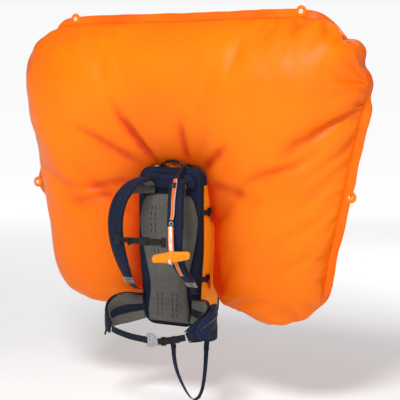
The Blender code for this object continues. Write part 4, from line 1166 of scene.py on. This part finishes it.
make_pack_shell()
make_main_flap()
for SIGN, TAG in ((1, "l"), (-1, "r")):
    make_sides(SIGN, TAG)
make_haul_loop()
make_neck()


# ---------------------------------------------------------------- back panel and yoke
PANEL_SHAPE = (
    (-0.238, 0.07), (-0.2, 0.074), (-0.15, 0.067), (-0.11, 0.067), (-0.06, 0.078), (-0.01, 0.09),
    (0.04, 0.1), (0.085, 0.104), (0.12, 0.098), (0.15, 0.086), (0.166, 0.07),
)


def panel_half(z):
    line = curve_through([(0.0, w, h) for h, w in PANEL_SHAPE], 6)
    return float(np.interp(z, [p.z for p in line], [p.y for p in line]))


def make_back_panel():
    """Moulded foam: rounded rim, a spine channel, two bowed grooves and rows of breathing slots drawn as dark
    dashes of painted shade.
    """
    low, high, across = -0.238, 0.166, 56
    rows = []
    bm = bmesh.new()
    for i in range(103):
        z = low + (high - low) * i / 102
        half = panel_half(z)
        row = []
        for k in range(across + 1):
            u = 2 * k / across - 1
            edge = min((1 - abs(u)) * half, (z - low) * 1.4, (high - z) * 1.4)
            t = min(1.0, edge / 0.013)
            y = 0.0148 - 0.0146 * sqrt(max(0.0, 1 - (1 - t) ** 2))
            x = u * half
            if t > 0.6:
                y += 0.0034 * exp(-(x / 0.0075) ** 2) * (-0.225 < z < 0.14)
                for side in (-1, 1):
                    y += 0.0026 * exp(-((x - side * 0.66 * half) / 0.0034) ** 2)
                y += 0.0018 * exp(-((z + 0.132) / 0.0036) ** 2) * (abs(u) < 0.64)
                y += 0.0018 * exp(-((z - 0.015) / 0.0036) ** 2) * (abs(u) < 0.64)
                y += 0.0005 * noise.noise(Vector((x * 40, 2.0, z * 40)))
            row.append(bm.verts.new((x, y, z)))
        rows.append(row)
    back = [[bm.verts.new((v.co.x * 0.985, 0.0149, v.co.z)) for v in row] for row in rows]
    sheet_faces(bm, rows)
    sheet_faces(bm, back, flip=True)
    front_rim, back_rim = (g[0] + [r[-1] for r in g[1:]] + g[-1][::-1][1:] + [r[0] for r in g[::-1][1:-1]]
                           for g in (rows, back))
    count = len(front_rim)
    for k in range(count):
        m = (k + 1) % count
        bm.faces.new((front_rim[k], back_rim[k], back_rim[m], front_rim[m]))
    panel = finish("back_panel_foam", bm, "grey", "pack", ("back_panel",))
    # The breathing slots are dark dashes on the face: painted shade, no holes are cut.
    slots = []
    for column in (-0.46, -0.32, 0.32, 0.46):
        for z in (0.118, 0.1, 0.082, 0.064, 0.046, 0.0, -0.018, -0.036, -0.054):
            bow = column + 0.1 * copysign(1, column) * sin((z + 0.06) * 12)
            x = bow * panel_half(z)
            slots.append(([Vector((x, -0.00005, z)), Vector((x, -0.00005, z + 0.0088))], TO_WEARER))
    for x in (-0.034, -0.019, 0.019, 0.034):
        for z in (-0.152, -0.168, -0.184, -0.2, -0.216):
            slots.append(([Vector((x, -0.00005, z)), Vector((x, -0.00005, z + 0.008))], TO_WEARER))
    stitches("back_panel_slot_shade", slots, "dark_mesh_and_shade", "pack", 0.0078, 0.0085, 0.0013)
    line = []
    for i in range(60):
        z = -0.232 + 0.392 * i / 59
        line.append((z, panel_half(z)))
    rim = [Vector((h, 0.0128, z)) for z, h in line] + [Vector((-h, 0.0128, z)) for z, h in line[::-1]]
    rod("back_panel_piping", rim[::2], 0.0019, "binding", "pack", closed=True)


def make_yoke():
    """Padded band across the shoulders, where both shoulder straps are sewn in."""
    outline = arc_points(0.062, 0.196, 0.034, -20, 90, 8) + arc_points(-0.062, 0.196, 0.034, 90, 200, 8)
    bm = bmesh.new()
    rings = []
    centre = Vector((0.0, 0.0, 0.205))
    for share, y in ((0.95, 0.0024), (1.0, 0.005), (1.0, 0.0115), (0.96, 0.014)):
        rings.append([bm.verts.new((centre.x + (x - centre.x) * share, y, centre.z + (z - centre.z) * share))
                      for x, z in outline])
    skin_loops(bm, rings, flat_ends=True)
    pad = puff(bm, "yoke", 0.004, 4.0, 12, 0.0018)
    yoke = finish("yoke_pad", pad, "navy", "pack", ("yoke_panel",), subsurf=1)
    rows = []
    for z in (0.1935, 0.2215):
        rows.append(([Vector((x, 0.0004 + 0.002 * (abs(x) / 0.07) ** 4, z))
                      for x in np.linspace(-0.07, 0.07, 15)], TO_WEARER))
    stitches("yoke_stitches", rows, "thread", "pack", 0.003, 0.0052, 0.0005)


# ---------------------------------------------------------------- shoulder straps
STRAP_WIDTHS = (0.05, 0.054, 0.058, 0.06, 0.06, 0.058, 0.054, 0.046, 0.034)


def strap_frames(tag, gap=0.006):
    path = spaced(curve_through(STRAP_ROUTES[tag], 8), gap)
    return path, [w * 0.88 for w in spread(STRAP_WIDTHS, len(path))], frames_along(path, ALONG_X)


def pad_loft(path, widths, frames, thick, round_=0.9):
    """Lens-shaped bar along a path, as a closed bmesh."""
    bm = bmesh.new()
    loops = []
    for i, (p, w, (_, side, up)) in enumerate(zip(path, widths, frames)):
        end = min(i, len(path) - 1 - i)
        share = min(1.0, 0.55 + 0.2 * end)
        ring = []
        for a in turns(20):
            c, s = cos(a), sin(a)
            x = copysign(abs(c) ** 0.45, c) * w / 2 * round_
            y = copysign(abs(s) ** 0.75, s) * thick / 2 * share
            ring.append(bm.verts.new(p + side * x + up * y))
        loops.append(ring)
    skin_loops(bm, loops, flat_ends=True)
    return bm


def make_shoulder_strap(tag, sign):
    path, widths, frames = strip = strap_frames(tag)
    bm = pad_loft(path, widths, frames, 0.01, 0.93)
    body = finish("shoulder_pad_" + tag, puff(bm, "strap_" + tag, 0.0042, 4.0, 12, 0.0014), "navy", "pack",
                  ("shoulder_strap_" + tag,), subsurf=1)
    band("shoulder_lining_" + tag, path, [w * 0.88 for w in widths], 0.0022, ALONG_X,
         "grey", "pack", gap=0.006, lift=-0.0056)
    for side, word in ((-1, "in"), (1, "out")):
        rod(f"shoulder_binding_{word}_{tag}", beside(strip, side * 0.475)[::2], 0.0022, "binding", "pack")
    first, last = (0.34, 0.88) if tag == "r" else (0.06, 0.6)
    cut = path[int(len(path) * first):int(len(path) * last)]
    shift = 0.0 if tag == "r" else -0.004
    ups = frames[int(len(path) * first):int(len(path) * last)]
    daisy = [p + u * 0.0056 + s * shift for p, (_, s, u) in zip(cut, ups)]
    band("shoulder_daisy_" + tag, daisy, 0.017, 0.0012, ALONG_X, "web_navy", "pack")
    rows = []
    for k in range(2, len(daisy) - 1, 6):
        p = Vector(daisy[k])
        out = ups[k][2]
        rows.append(([p + Vector((x, 0, 0)) + out * 0.0009 for x in (-0.0078, 0.0078)], out))
    for side in (-1, 1):
        rows.append((beside(strip, side * 0.39, 0.005)[1:-1], [u for _, _, u in frames[1:-1]]))
    stitches("shoulder_stitches_" + tag, rows, "thread", "pack", 0.003, 0.0046, 0.0005)
    end, before = Vector(STRAP_ROUTES[tag][-1]), Vector(STRAP_ROUTES[tag][-2])
    along = (end - before).normalized()
    start = end + along * 0.0262
    foot = Vector((copysign(0.09, end.x), 0.0125, (end + along * 0.031).z - 0.028))
    middle = start.lerp(foot, 0.5) + Vector((0.0, 0.0, -0.009))
    band("strap_webbing_skin_" + tag, [start, start.lerp(middle, 0.5), middle, foot],
         0.02, 0.0013, ALONG_X, "web", "pack", stands_for=("strap_webbing_" + tag,), gap=0.004)
    lug = [end + along * run for run in (0.0008, 0.005, 0.0104)]
    band("lock_loop_" + tag, lug, 0.021, 0.0034, ALONG_X, "web", "ladder_lock_" + tag, gap=0.002)
    wing = [(sign * 0.045, 0.003, 0.178), (sign * 0.066, -0.01, 0.18), (sign * 0.082, -0.032, 0.18),
            (sign * 0.093, -0.06, 0.172)]
    band("strap_wing_" + tag, wing, [0.02, 0.024, 0.02, 0.01], 0.0026, (0.1, 0.25, 1.0), "grey", "pack",
         gap=0.005)


# ---------------------------------------------------------------- chest strap
def make_sternum():
    y = -0.1484
    line = [(-0.086, y - 0.003, STERNUM_Z), (-0.0795, y - 0.0012, STERNUM_Z), (-0.06, y, STERNUM_Z),
            (-0.035, y - 0.0006, STERNUM_Z + 0.0006), (-0.0105, y, STERNUM_Z)]
    band("sternum_webbing", line, 0.016, 0.0014, UP, "web", "sternum",
         stands_for=("sternum_webbing_r",), gap=0.003)
    tail = [(-0.012, y - 0.0042, STERNUM_Z), (-0.026, y - 0.005, STERNUM_Z - 0.001),
            (-0.04, y - 0.0036, STERNUM_Z - 0.004), (-0.052, y - 0.004, STERNUM_Z - 0.01)]
    band("sternum_tail", tail, 0.015, 0.0012, (0, 0.1, 1), "web", "sternum", gap=0.003)
    keeper = [(-0.045, y - 0.0062, STERNUM_Z + 0.009), (-0.045, y - 0.0072, STERNUM_Z),
              (-0.045, y - 0.0062, STERNUM_Z - 0.012)]
    band("sternum_keeper", keeper, 0.006, 0.0014, ALONG_X, "web", "sternum", gap=0.002)


# ---------------------------------------------------------------- trigger
GRIP_AT = Vector((0.104, -0.16, -0.001))
GRIP_TURN = radians(14)


def make_trigger():
    turn = Matrix.Translation(GRIP_AT) @ Matrix.Rotation(GRIP_TURN, 4, "Z")
    knots = [-0.058, -0.056, -0.052, -0.02, 0.0, 0.02, 0.052, 0.056, 0.058]
    highs = [0.004, 0.0092, 0.0122, 0.0153, 0.0168, 0.0153, 0.0122, 0.0092, 0.004]
    deeps = [0.003, 0.0056, 0.007, 0.0079, 0.0081, 0.0079, 0.007, 0.0056, 0.003]
    stations = [-0.058, -0.0575, -0.0565, -0.055] + list(np.linspace(-0.053, 0.053, 75)) + \
        [0.055, 0.0565, 0.0575, 0.058]
    bm = bmesh.new()
    loops = []
    for a in stations:
        high, deep = float(np.interp(a, knots, highs)), float(np.interp(a, knots, deeps))
        rib = 1.0
        if 0.016 < abs(a) < 0.05:
            rib = 1.0 - 0.085 * (0.5 + 0.5 * cos(2 * pi * a / 0.0068)) ** 2
        ring = []
        for t in turns(32):
            c, s = cos(t), sin(t)
            y = copysign(abs(c) ** 0.85, c) * deep * rib
            z = 0.13 * a + copysign(abs(s) ** 0.8, s) * high * (0.5 + 0.5 * rib)
            ring.append(bm.verts.new(turn @ Vector((a, y, z))))
        loops.append(ring)
    skin_loops(bm, loops, flat_ends=True)
    finish("trigger_grip_moulding", bm, "orange_plastic", "trigger_handle", ("trigger_grip",))
    wrap = bmesh.new()
    loops = []
    for a, grow in ((-0.0112, 0.0), (-0.011, 0.0012), (-0.006, 0.0015), (0.0, 0.0015), (0.006, 0.0015),
                    (0.011, 0.0012), (0.0112, 0.0)):
        loops.append([wrap.verts.new(turn @ Vector((a, (0.008 + grow) * cos(t),
                                                    0.13 * a + (0.0164 + grow) * sin(t))))
                      for t in turns(32)])
    skin_loops(wrap, loops)
    finish("trigger_wrap", wrap, "orange_plastic", "trigger_handle")
    patch = [GRIP_AT + Vector((0.0, -0.0095, -0.006)), GRIP_AT + Vector((0.0, -0.0075, -0.015)),
             GRIP_AT + Vector((0.0, 0.0, -0.0205))]
    band("trigger_stem_end", patch, 0.015, 0.0016, ALONG_X, "stem", "trigger_handle",
         gap=0.002)
    x, y, _ = GRIP_AT
    stem = [(x + 0.0008, y + 0.0002, 0.0165), (x, y, 0.03), (x - 0.0006, y - 0.0004, 0.05),
            (x - 0.001, y, 0.072), (x - 0.0015, y + 0.0003, 0.09)]
    band("trigger_stem_tape", stem, 0.0185, 0.0022, (1, 0.05, 0), "stem", "trigger_handle",
         stands_for=("trigger_stem",), gap=0.003)
    rows = []
    for side in (-1, 1):
        rows.append(([Vector((x + side * 0.0055 - 0.0012 * (z - 0.02) / 0.07, y - 0.0014, z))
                      for z in np.linspace(0.02, 0.086, 12)], TO_WEARER))
    stitches("trigger_stem_stitches", rows, "thread_orange", "trigger_handle", 0.003, 0.0048, 0.0004)
    route = [(0.048, 0.08, 0.146), (0.05, 0.079, 0.166), (0.051, 0.076, 0.2),
             (0.052, 0.066, 0.238), (0.053, 0.046, 0.2575), (0.0555, 0.012, 0.257),
             (0.059, -0.03, 0.236), (0.077, -0.084, 0.215), (0.093, -0.125, 0.172),
             (0.1015, -0.1445, 0.13), (0.102, -0.153, 0.109)]
    band("trigger_sleeve", route[:9], [0.006, 0.006, 0.007, 0.008, 0.009, 0.01, 0.01, 0.01, 0.01],
         0.0036, ALONG_X, "web_navy", "pack", stands_for=("trigger_cable",), gap=0.004)
    band("trigger_tape", [(0.0705, -0.0712, 0.2225)] + route[7:], [0.01, 0.012, 0.012, 0.011, 0.01], 0.0046,
         ALONG_X, "tape", "pack", gap=0.004)
    path, _, frames = strap_frames("l", 0.004)
    low = [p + u * 0.0082 - s * 0.002 for p, (_, s, u) in zip(path, frames) if -0.062 < p.z < -0.008]
    band("strap_tape_low", low, 0.012, 0.0016, ALONG_X, "tape", "pack", gap=0.004)


# ---------------------------------------------------------------- hip belt
FIN_WIDTHS = (0.078, 0.09, 0.102, 0.098, 0.084, 0.062, 0.034)


def make_fin(sign, tag):
    """Padded fin with a grey mesh lining in two bands round a gap painted dark as shade, bound edges and
    quilting.
    """
    body = "hip_" + tag
    route = [(sign * x, y, z) for x, y, z in FIN_ROUTE]
    path = spaced(curve_through(route, 8), 0.006)
    widths = spread(FIN_WIDTHS, len(path))
    frames = frames_along(path, UP)
    strip = (path, widths, frames)
    bm = pad_loft(path, widths, frames, 0.0108, 0.95)
    pad = finish("hip_pad_" + tag, puff(bm, "fin_" + tag, 0.0045, 4.0, 12, 0.0016), "navy", body,
                 ("hip_fin_" + tag,), subsurf=1)
    inner = 0.0064 * sign
    outer = -0.0062 * sign
    for word, side, share, thick in (("top", 0.27, 0.34, 0.003), ("low", -0.325, 0.31, 0.0034)):
        band(f"hip_lining_{word}_{tag}", beside(strip, side)[1:-2], [w * share for w in widths[1:-2]], thick,
             UP, "grey", body, lift=inner)
    # A dark strip in the gap between the lining bands: painted shade.
    band("hip_gap_shade_" + tag, beside(strip, -0.03)[2:-6], [w * 0.24 for w in widths[2:-6]], 0.002, UP,
         "dark_mesh_and_shade", body, lift=inner * 0.93)
    for side, word in ((-1, "low"), (1, "top")):
        rod(f"hip_binding_{word}_{tag}", beside(strip, side * 0.48)[::2], 0.0023, "binding", body)
    rows = []
    for side in (-0.36, 0.36):
        rows.append((beside(strip, side, outer * 0.92)[1:-1], [u * -sign for _, _, u in frames[1:-1]]))
    stitches("hip_stitches_" + tag, rows, "thread", body, 0.003, 0.0048, 0.0005)
    band("hip_stabiliser_" + tag, beside(strip, 0.0, outer * 1.1)[3:], [0.03] * 4 + [0.024], 0.0016, UP,
         "web_navy", body)


def make_pocket():
    """Swollen zipped pocket on the left fin, with a mesh lower part, zip, red tab and small buckle."""
    path = spaced(curve_through(FIN_ROUTE, 3), 0.006)
    frames = frames_along(path, UP)
    first, last = int(len(path) * 0.2), int(len(path) * 0.88)
    run = path[first:last + 1]
    fr = frames[first:last + 1]
    lift = 0.0065 + 0.003 + 0.008
    route = [p - u * lift for p, (_, _, u) in zip(run, fr)]
    widths = [0.022 + 0.096 * sin(pi * (i / (len(run) - 1)) ** 0.92) ** 0.72 for i in range(len(run))]
    strip = (route, widths, fr)
    bm = pad_loft(route, widths, fr, 0.015, 0.94)
    pocket = finish("hip_pocket_body", puff(bm, "pocket", 0.0045, 5.0, 14, 0.0026), "navy_light", "hip_l",
                    ("hip_pocket_l",), subsurf=1)
    band("hip_pocket_mesh", beside(strip, -0.26, -0.0022)[2:-2], [w * 0.3 for w in widths[2:-2]], 0.0124,
         UP, "dark_mesh_and_shade", "hip_l")
    zip_line = beside(strip, 0.2, -0.0084)[2:-2]
    band("hip_pocket_zip_tape", zip_line, 0.012, 0.0014, UP, "web", "hip_l")
    stitches("hip_pocket_zip_teeth", [([p - f[2] * 0.0009 for p, f in zip(zip_line, fr[2:-2])],
                                       [-f[2] for f in fr[2:-2]])], "alu", "hip_l", 0.0014, 0.0022, 0.001)
    rows = []
    for share in (-0.1, 0.34):
        rows.append((beside(strip, share, -0.0086)[1:-1], [-f[2] for f in fr[1:-1]]))
    stitches("hip_pocket_stitches", rows, "thread", "hip_l", 0.003, 0.0046, 0.0005)
    k = max(2, len(zip_line) // 6)
    at, out = zip_line[k], -fr[2 + k][2]
    pull = [at + out * far + Vector((0, 0, -drop))
            for far, drop in ((0.0028, 0.0), (0.0052, 0.01), (0.0046, 0.024))]
    band("hip_pocket_pull", pull, 0.007, 0.0016, fr[2 + k][0], "tape", "hip_l", gap=0.003)
    tab = [route[3] - fr[3][2] * far + fr[3][1] * rise
           for far, rise in ((0.0085, 0.02), (0.0105, 0.008), (0.0088, -0.004))]
    band("hip_red_tab", tab, 0.012, 0.0014, fr[3][0], "red", "hip_l", gap=0.003)
    centre = route[2] - fr[2][2] * 0.0112 - fr[2][1] * 0.012
    frame_plate("hip_small_buckle", centre, fr[2][0], fr[2][1], 0.016, 0.02, 0.0036, "olive", "hip_l")


def frame_plate(name, centre, across, up, wide, high, thick, look, body):
    """Small moulded ladder frame: rounded, chamfered outline and two open slots."""
    out = Vector(across).cross(Vector(up)).normalized()
    across, up = Vector(across).normalized(), Vector(up).normalized()

    def ring(cx, cy, a, b, radius):
        pts = []
        for sa, sb, start in ((1, 1, 0), (-1, 1, 90), (-1, -1, 180), (1, -1, 270)):
            for k in range(5):
                t = radians(start + 22.5 * k)
                pts.append((cx + sa * (a - radius) + radius * cos(t),
                            cy + sb * (b - radius) + radius * sin(t)))
        return pts

    def place(pt, h):
        return centre + across * pt[0] + up * pt[1] + out * h

    solid = bmesh.new()
    loops = []
    half = thick / 2
    for grow, h in ((-0.0008, -half), (0.0, -half + 0.0007), (0.0, half - 0.0007), (-0.0008, half)):
        outline = ring(0, 0, wide / 2 + grow, high / 2 + grow, 0.0034)
        loops.append([solid.verts.new(place(p, h)) for p in outline])
    holes = []
    for cy in (-high * 0.21, high * 0.21):
        pts = ring(0, cy, wide * 0.32, high * 0.115, 0.0012)
        holes.append([[solid.verts.new(place(p, h)) for p in pts] for h in (-thick / 2, thick / 2)])
    skin_loops(solid, loops)
    for level, hole_level in ((loops[0], 0), (loops[-1], 1)):
        edges = [solid.edges.get((level[k], level[(k + 1) % len(level)])) for k in range(len(level))]
        for hole in holes:
            inner = hole[hole_level]
            for k in range(len(inner)):
                pair = (inner[k], inner[(k + 1) % len(inner)])
                edges.append(solid.edges.get(pair) or solid.edges.new(pair))
        bmesh.ops.triangle_fill(solid, use_beauty=True, edges=edges)
    for hole in holes:
        skin_loops(solid, hole)
    return finish(name, solid, look, body, sharp=35)


def make_belt():
    right = [(-0.1305, -0.12, -0.2475), (-0.1, -0.129, -0.253), (-0.05, -0.137, -0.26),
             (BUCKLE_X - 0.0165, -0.138, BELT_Z)]
    left = [(0.1305, -0.1205, -0.2475), (0.105, -0.132, -0.253), (0.075, -0.14, -0.259),
            (BUCKLE_X + 0.029, -0.144, BELT_Z)]
    band("belt_web_r", right, 0.02, 0.0015, UP, "web_navy", "hip_r", stands_for=("belt_webbing_r",),
         gap=0.004)
    band("belt_web_l", left, 0.02, 0.0015, UP, "web_navy", "hip_l", stands_for=("belt_webbing_l",),
         gap=0.004)
    fold = [(0.066, -0.144, -0.2612), (0.082, -0.141, -0.259), (0.1, -0.1362, -0.2555),
            (0.116, -0.131, -0.2535)]
    band("belt_fold_l", fold, 0.0195, 0.0015, UP, "web", "hip_l", gap=0.004)
    frame_plate("belt_adjuster", Vector((0.069, -0.144, -0.2606)), Vector((0.93, 0.24, 0.02)),
                Vector((0, 0, 1)), 0.017, 0.027, 0.0044, "plastic", "hip_l")
    frame_plate("belt_keeper", Vector((0.0985, -0.1362, -0.2548)), Vector((0.9, 0.3, 0.02)),
                Vector((0, 0, 1)), 0.008, 0.026, 0.005, "plastic", "hip_l")
    wrap = [(-0.004, -0.1405, BELT_Z), (0.005, -0.1412, BELT_Z), (0.0105, -0.1402, BELT_Z)]
    band("belt_wrap_r", wrap, 0.019, 0.0014, UP, "web_navy", "hip_r", gap=0.002)
    tail = [(-0.146, -0.119, -0.238), (-0.151, -0.1175, -0.248), (-0.155, -0.116, -0.259),
            (-0.159, -0.115, -0.27)]
    band("belt_tail_r", tail, [0.009, 0.007, 0.006, 0.006], 0.0018, (1, 0.2, 0), "web", "hip_r", gap=0.003)
    rows = []
    for line in (right, left):
        mids = spaced(curve_through(line, 6), 0.006)
        fr = frames_along(mids, UP)
        for side in (-1, 1):
            row = [p + s * side * 0.0078 - Vector((0, 0.001, 0)) for p, (_, s, _) in zip(mids, fr)]
            rows.append((row[1:-1], TO_WEARER))
    stitches("belt_stitches_r", rows[:2], "thread", "hip_r", 0.0026, 0.0046, 0.0003)
    stitches("belt_stitches_l", rows[2:], "thread", "hip_l", 0.0026, 0.0046, 0.0003)


# ---------------------------------------------------------------- zip pulls
def make_zip_pull(sign, tag):
    """Doubled tape pull on the slider, with a gripped end."""
    x = sign * 0.1146
    route = [(x, 0.16, 0.1404), (x + sign * 0.0004, 0.16, 0.134), (x, 0.16, 0.122), (x, 0.16, 0.11)]
    band("zip_pull_tape_" + tag, route, [0.0042, 0.0048, 0.0062, 0.0066], 0.0022, ALONG_Y, "tape",
         "zip_pull_" + tag, stands_for=("zip_pull_" + tag,), gap=0.002)
    band("zip_pull_grip_" + tag, [(x, 0.16, 0.1225), (x, 0.16, 0.116), (x, 0.16, 0.1098)], 0.007, 0.003,
         ALONG_Y, "web", "zip_pull_" + tag, gap=0.002)


make_back_panel()
make_yoke()
for SIGN, TAG in ((1, "l"), (-1, "r")):
    make_shoulder_strap(TAG, SIGN)
    make_fin(SIGN, TAG)
    make_zip_pull(SIGN, TAG)
make_sternum()
make_trigger()
make_pocket()
make_belt()


# ---------------------------------------------------------------- carried-over nodes
KEPT = {
    "firing_head": "brass", "firing_lever": "alu", "firing_pin": "alu", "lever_pin": "alu",
    "gas_cartridge": "steel", "inflator_housing": "plastic", "neck_clamp": "alu", "valve_flap_a": "rubber",
    "valve_flap_b": "rubber", "cartridge_cradle": "frame_plastic", "frame_sheet": "frame_plastic",
    "ladder_lock_l": "alu", "ladder_lock_r": "alu", "belt_buckle_plate": "alu", "belt_buckle_hook": "alu",
    "trigger_ring": "alu", "sternum_buckle_female": "plastic", "sternum_buckle_male": "plastic",
    "sternum_slider_l": "plastic", "sternum_slider_r": "plastic", "eyelet_top_l": "white_plastic",
    "eyelet_top_r": "white_plastic", "eyelet_side_l": "white_plastic", "eyelet_side_r": "white_plastic",
    "side_buckle_upper_l": "plastic", "side_buckle_upper_r": "plastic", "side_buckle_lower_l": "plastic",
    "side_buckle_lower_r": "plastic", "zip_slider_l": "plastic", "zip_slider_r": "plastic",
}
for NAME, LOOK in KEPT.items():
    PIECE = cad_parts[NAME]
    if not PIECE.material_slots:
        PIECE.data.materials.append(None)
    for SLOT in PIECE.material_slots:
        SLOT.material = MAT[LOOK]


# ---------------------------------------------------------------- studio
def make_floor():
    """Pale floor: a wide disc of paper."""
    bm = bmesh.new()
    loops = []
    for radius in (0.4, 1.2, 2.5, 5.0, 10.0, 20.0, 40.0):
        loops.append([bm.verts.new((radius * cos(a), radius * sin(a), FLOOR_Z))
                      for a in turns(64)])
    skin_loops(bm, loops, cap_first=True)
    bmesh.ops.recalc_face_normals(bm, faces=bm.faces)
    mesh = bpy.data.meshes.new("floor")
    bm.to_mesh(mesh)
    bm.free()
    mesh.shade_smooth()
    mat, tree, shader = new_material("floor_paper", 0.9, specular=0.1)
    tone = ramp(tree, noise_at(tree, coords(tree), 3.0), [(0.3, (0.86, 0.86, 0.86)), (0.7, (0.89, 0.89, 0.89))])
    tree.links.new(tone, shader.inputs["Base Color"])
    shader.inputs["Emission Color"].default_value = (1.0, 1.0, 1.0, 1.0)
    span = tree.nodes.new("ShaderNodeVectorMath")
    span.operation = "LENGTH"
    tree.links.new(coords(tree), span.inputs[0])
    reach = tree.nodes.new("ShaderNodeMapRange")
    for name, value in (("From Min", 1.2), ("From Max", 5.5), ("To Min", 0.24), ("To Max", 0.8)):
        reach.inputs[name].default_value = value
    tree.links.new(span.outputs["Value"], reach.inputs["Value"])
    tree.links.new(reach.outputs["Result"], shader.inputs["Emission Strength"])
    mesh.materials.append(mat)
    placed("floor", mesh)


def make_lights():
    world = bpy.data.worlds.new("studio")
    world.use_nodes = True
    tree = world.node_tree
    ground = tree.nodes["Background"]
    split = tree.nodes.new("ShaderNodeSeparateXYZ")
    tree.links.new(tree.nodes.new("ShaderNodeTexCoord").outputs["Generated"], split.inputs[0])
    white = (1.0, 1.0, 1.0)
    sky = ramp(tree, split.outputs[2], [(0.0, white), (0.07, white), (0.24, (0.17, 0.17, 0.18))])
    tree.links.new(sky, ground.inputs["Color"])
    ground.inputs["Strength"].default_value = 0.95
    SCENE.world = world
    for name, place, size, power in (("key", (0.5, -2.6, 2.9), 1.2, 128.0),
                                     ("fill", (2.8, -2.0, 0.5), 2.0, 12.0),
                                     ("back", (0.4, 3.2, 1.8), 1.8, 30.0)):
        data = bpy.data.lights.new(name, "AREA")
        data.size = size
        data.energy = power
        lamp = placed(name, data)
        lamp.location = place
        aim = Vector((0.0, 0.0, 0.15)) - Vector(place)
        lamp.rotation_euler = aim.to_track_quat("-Z", "Y").to_euler()


make_floor()
make_lights()
SCENE.view_settings.view_transform = "Standard"
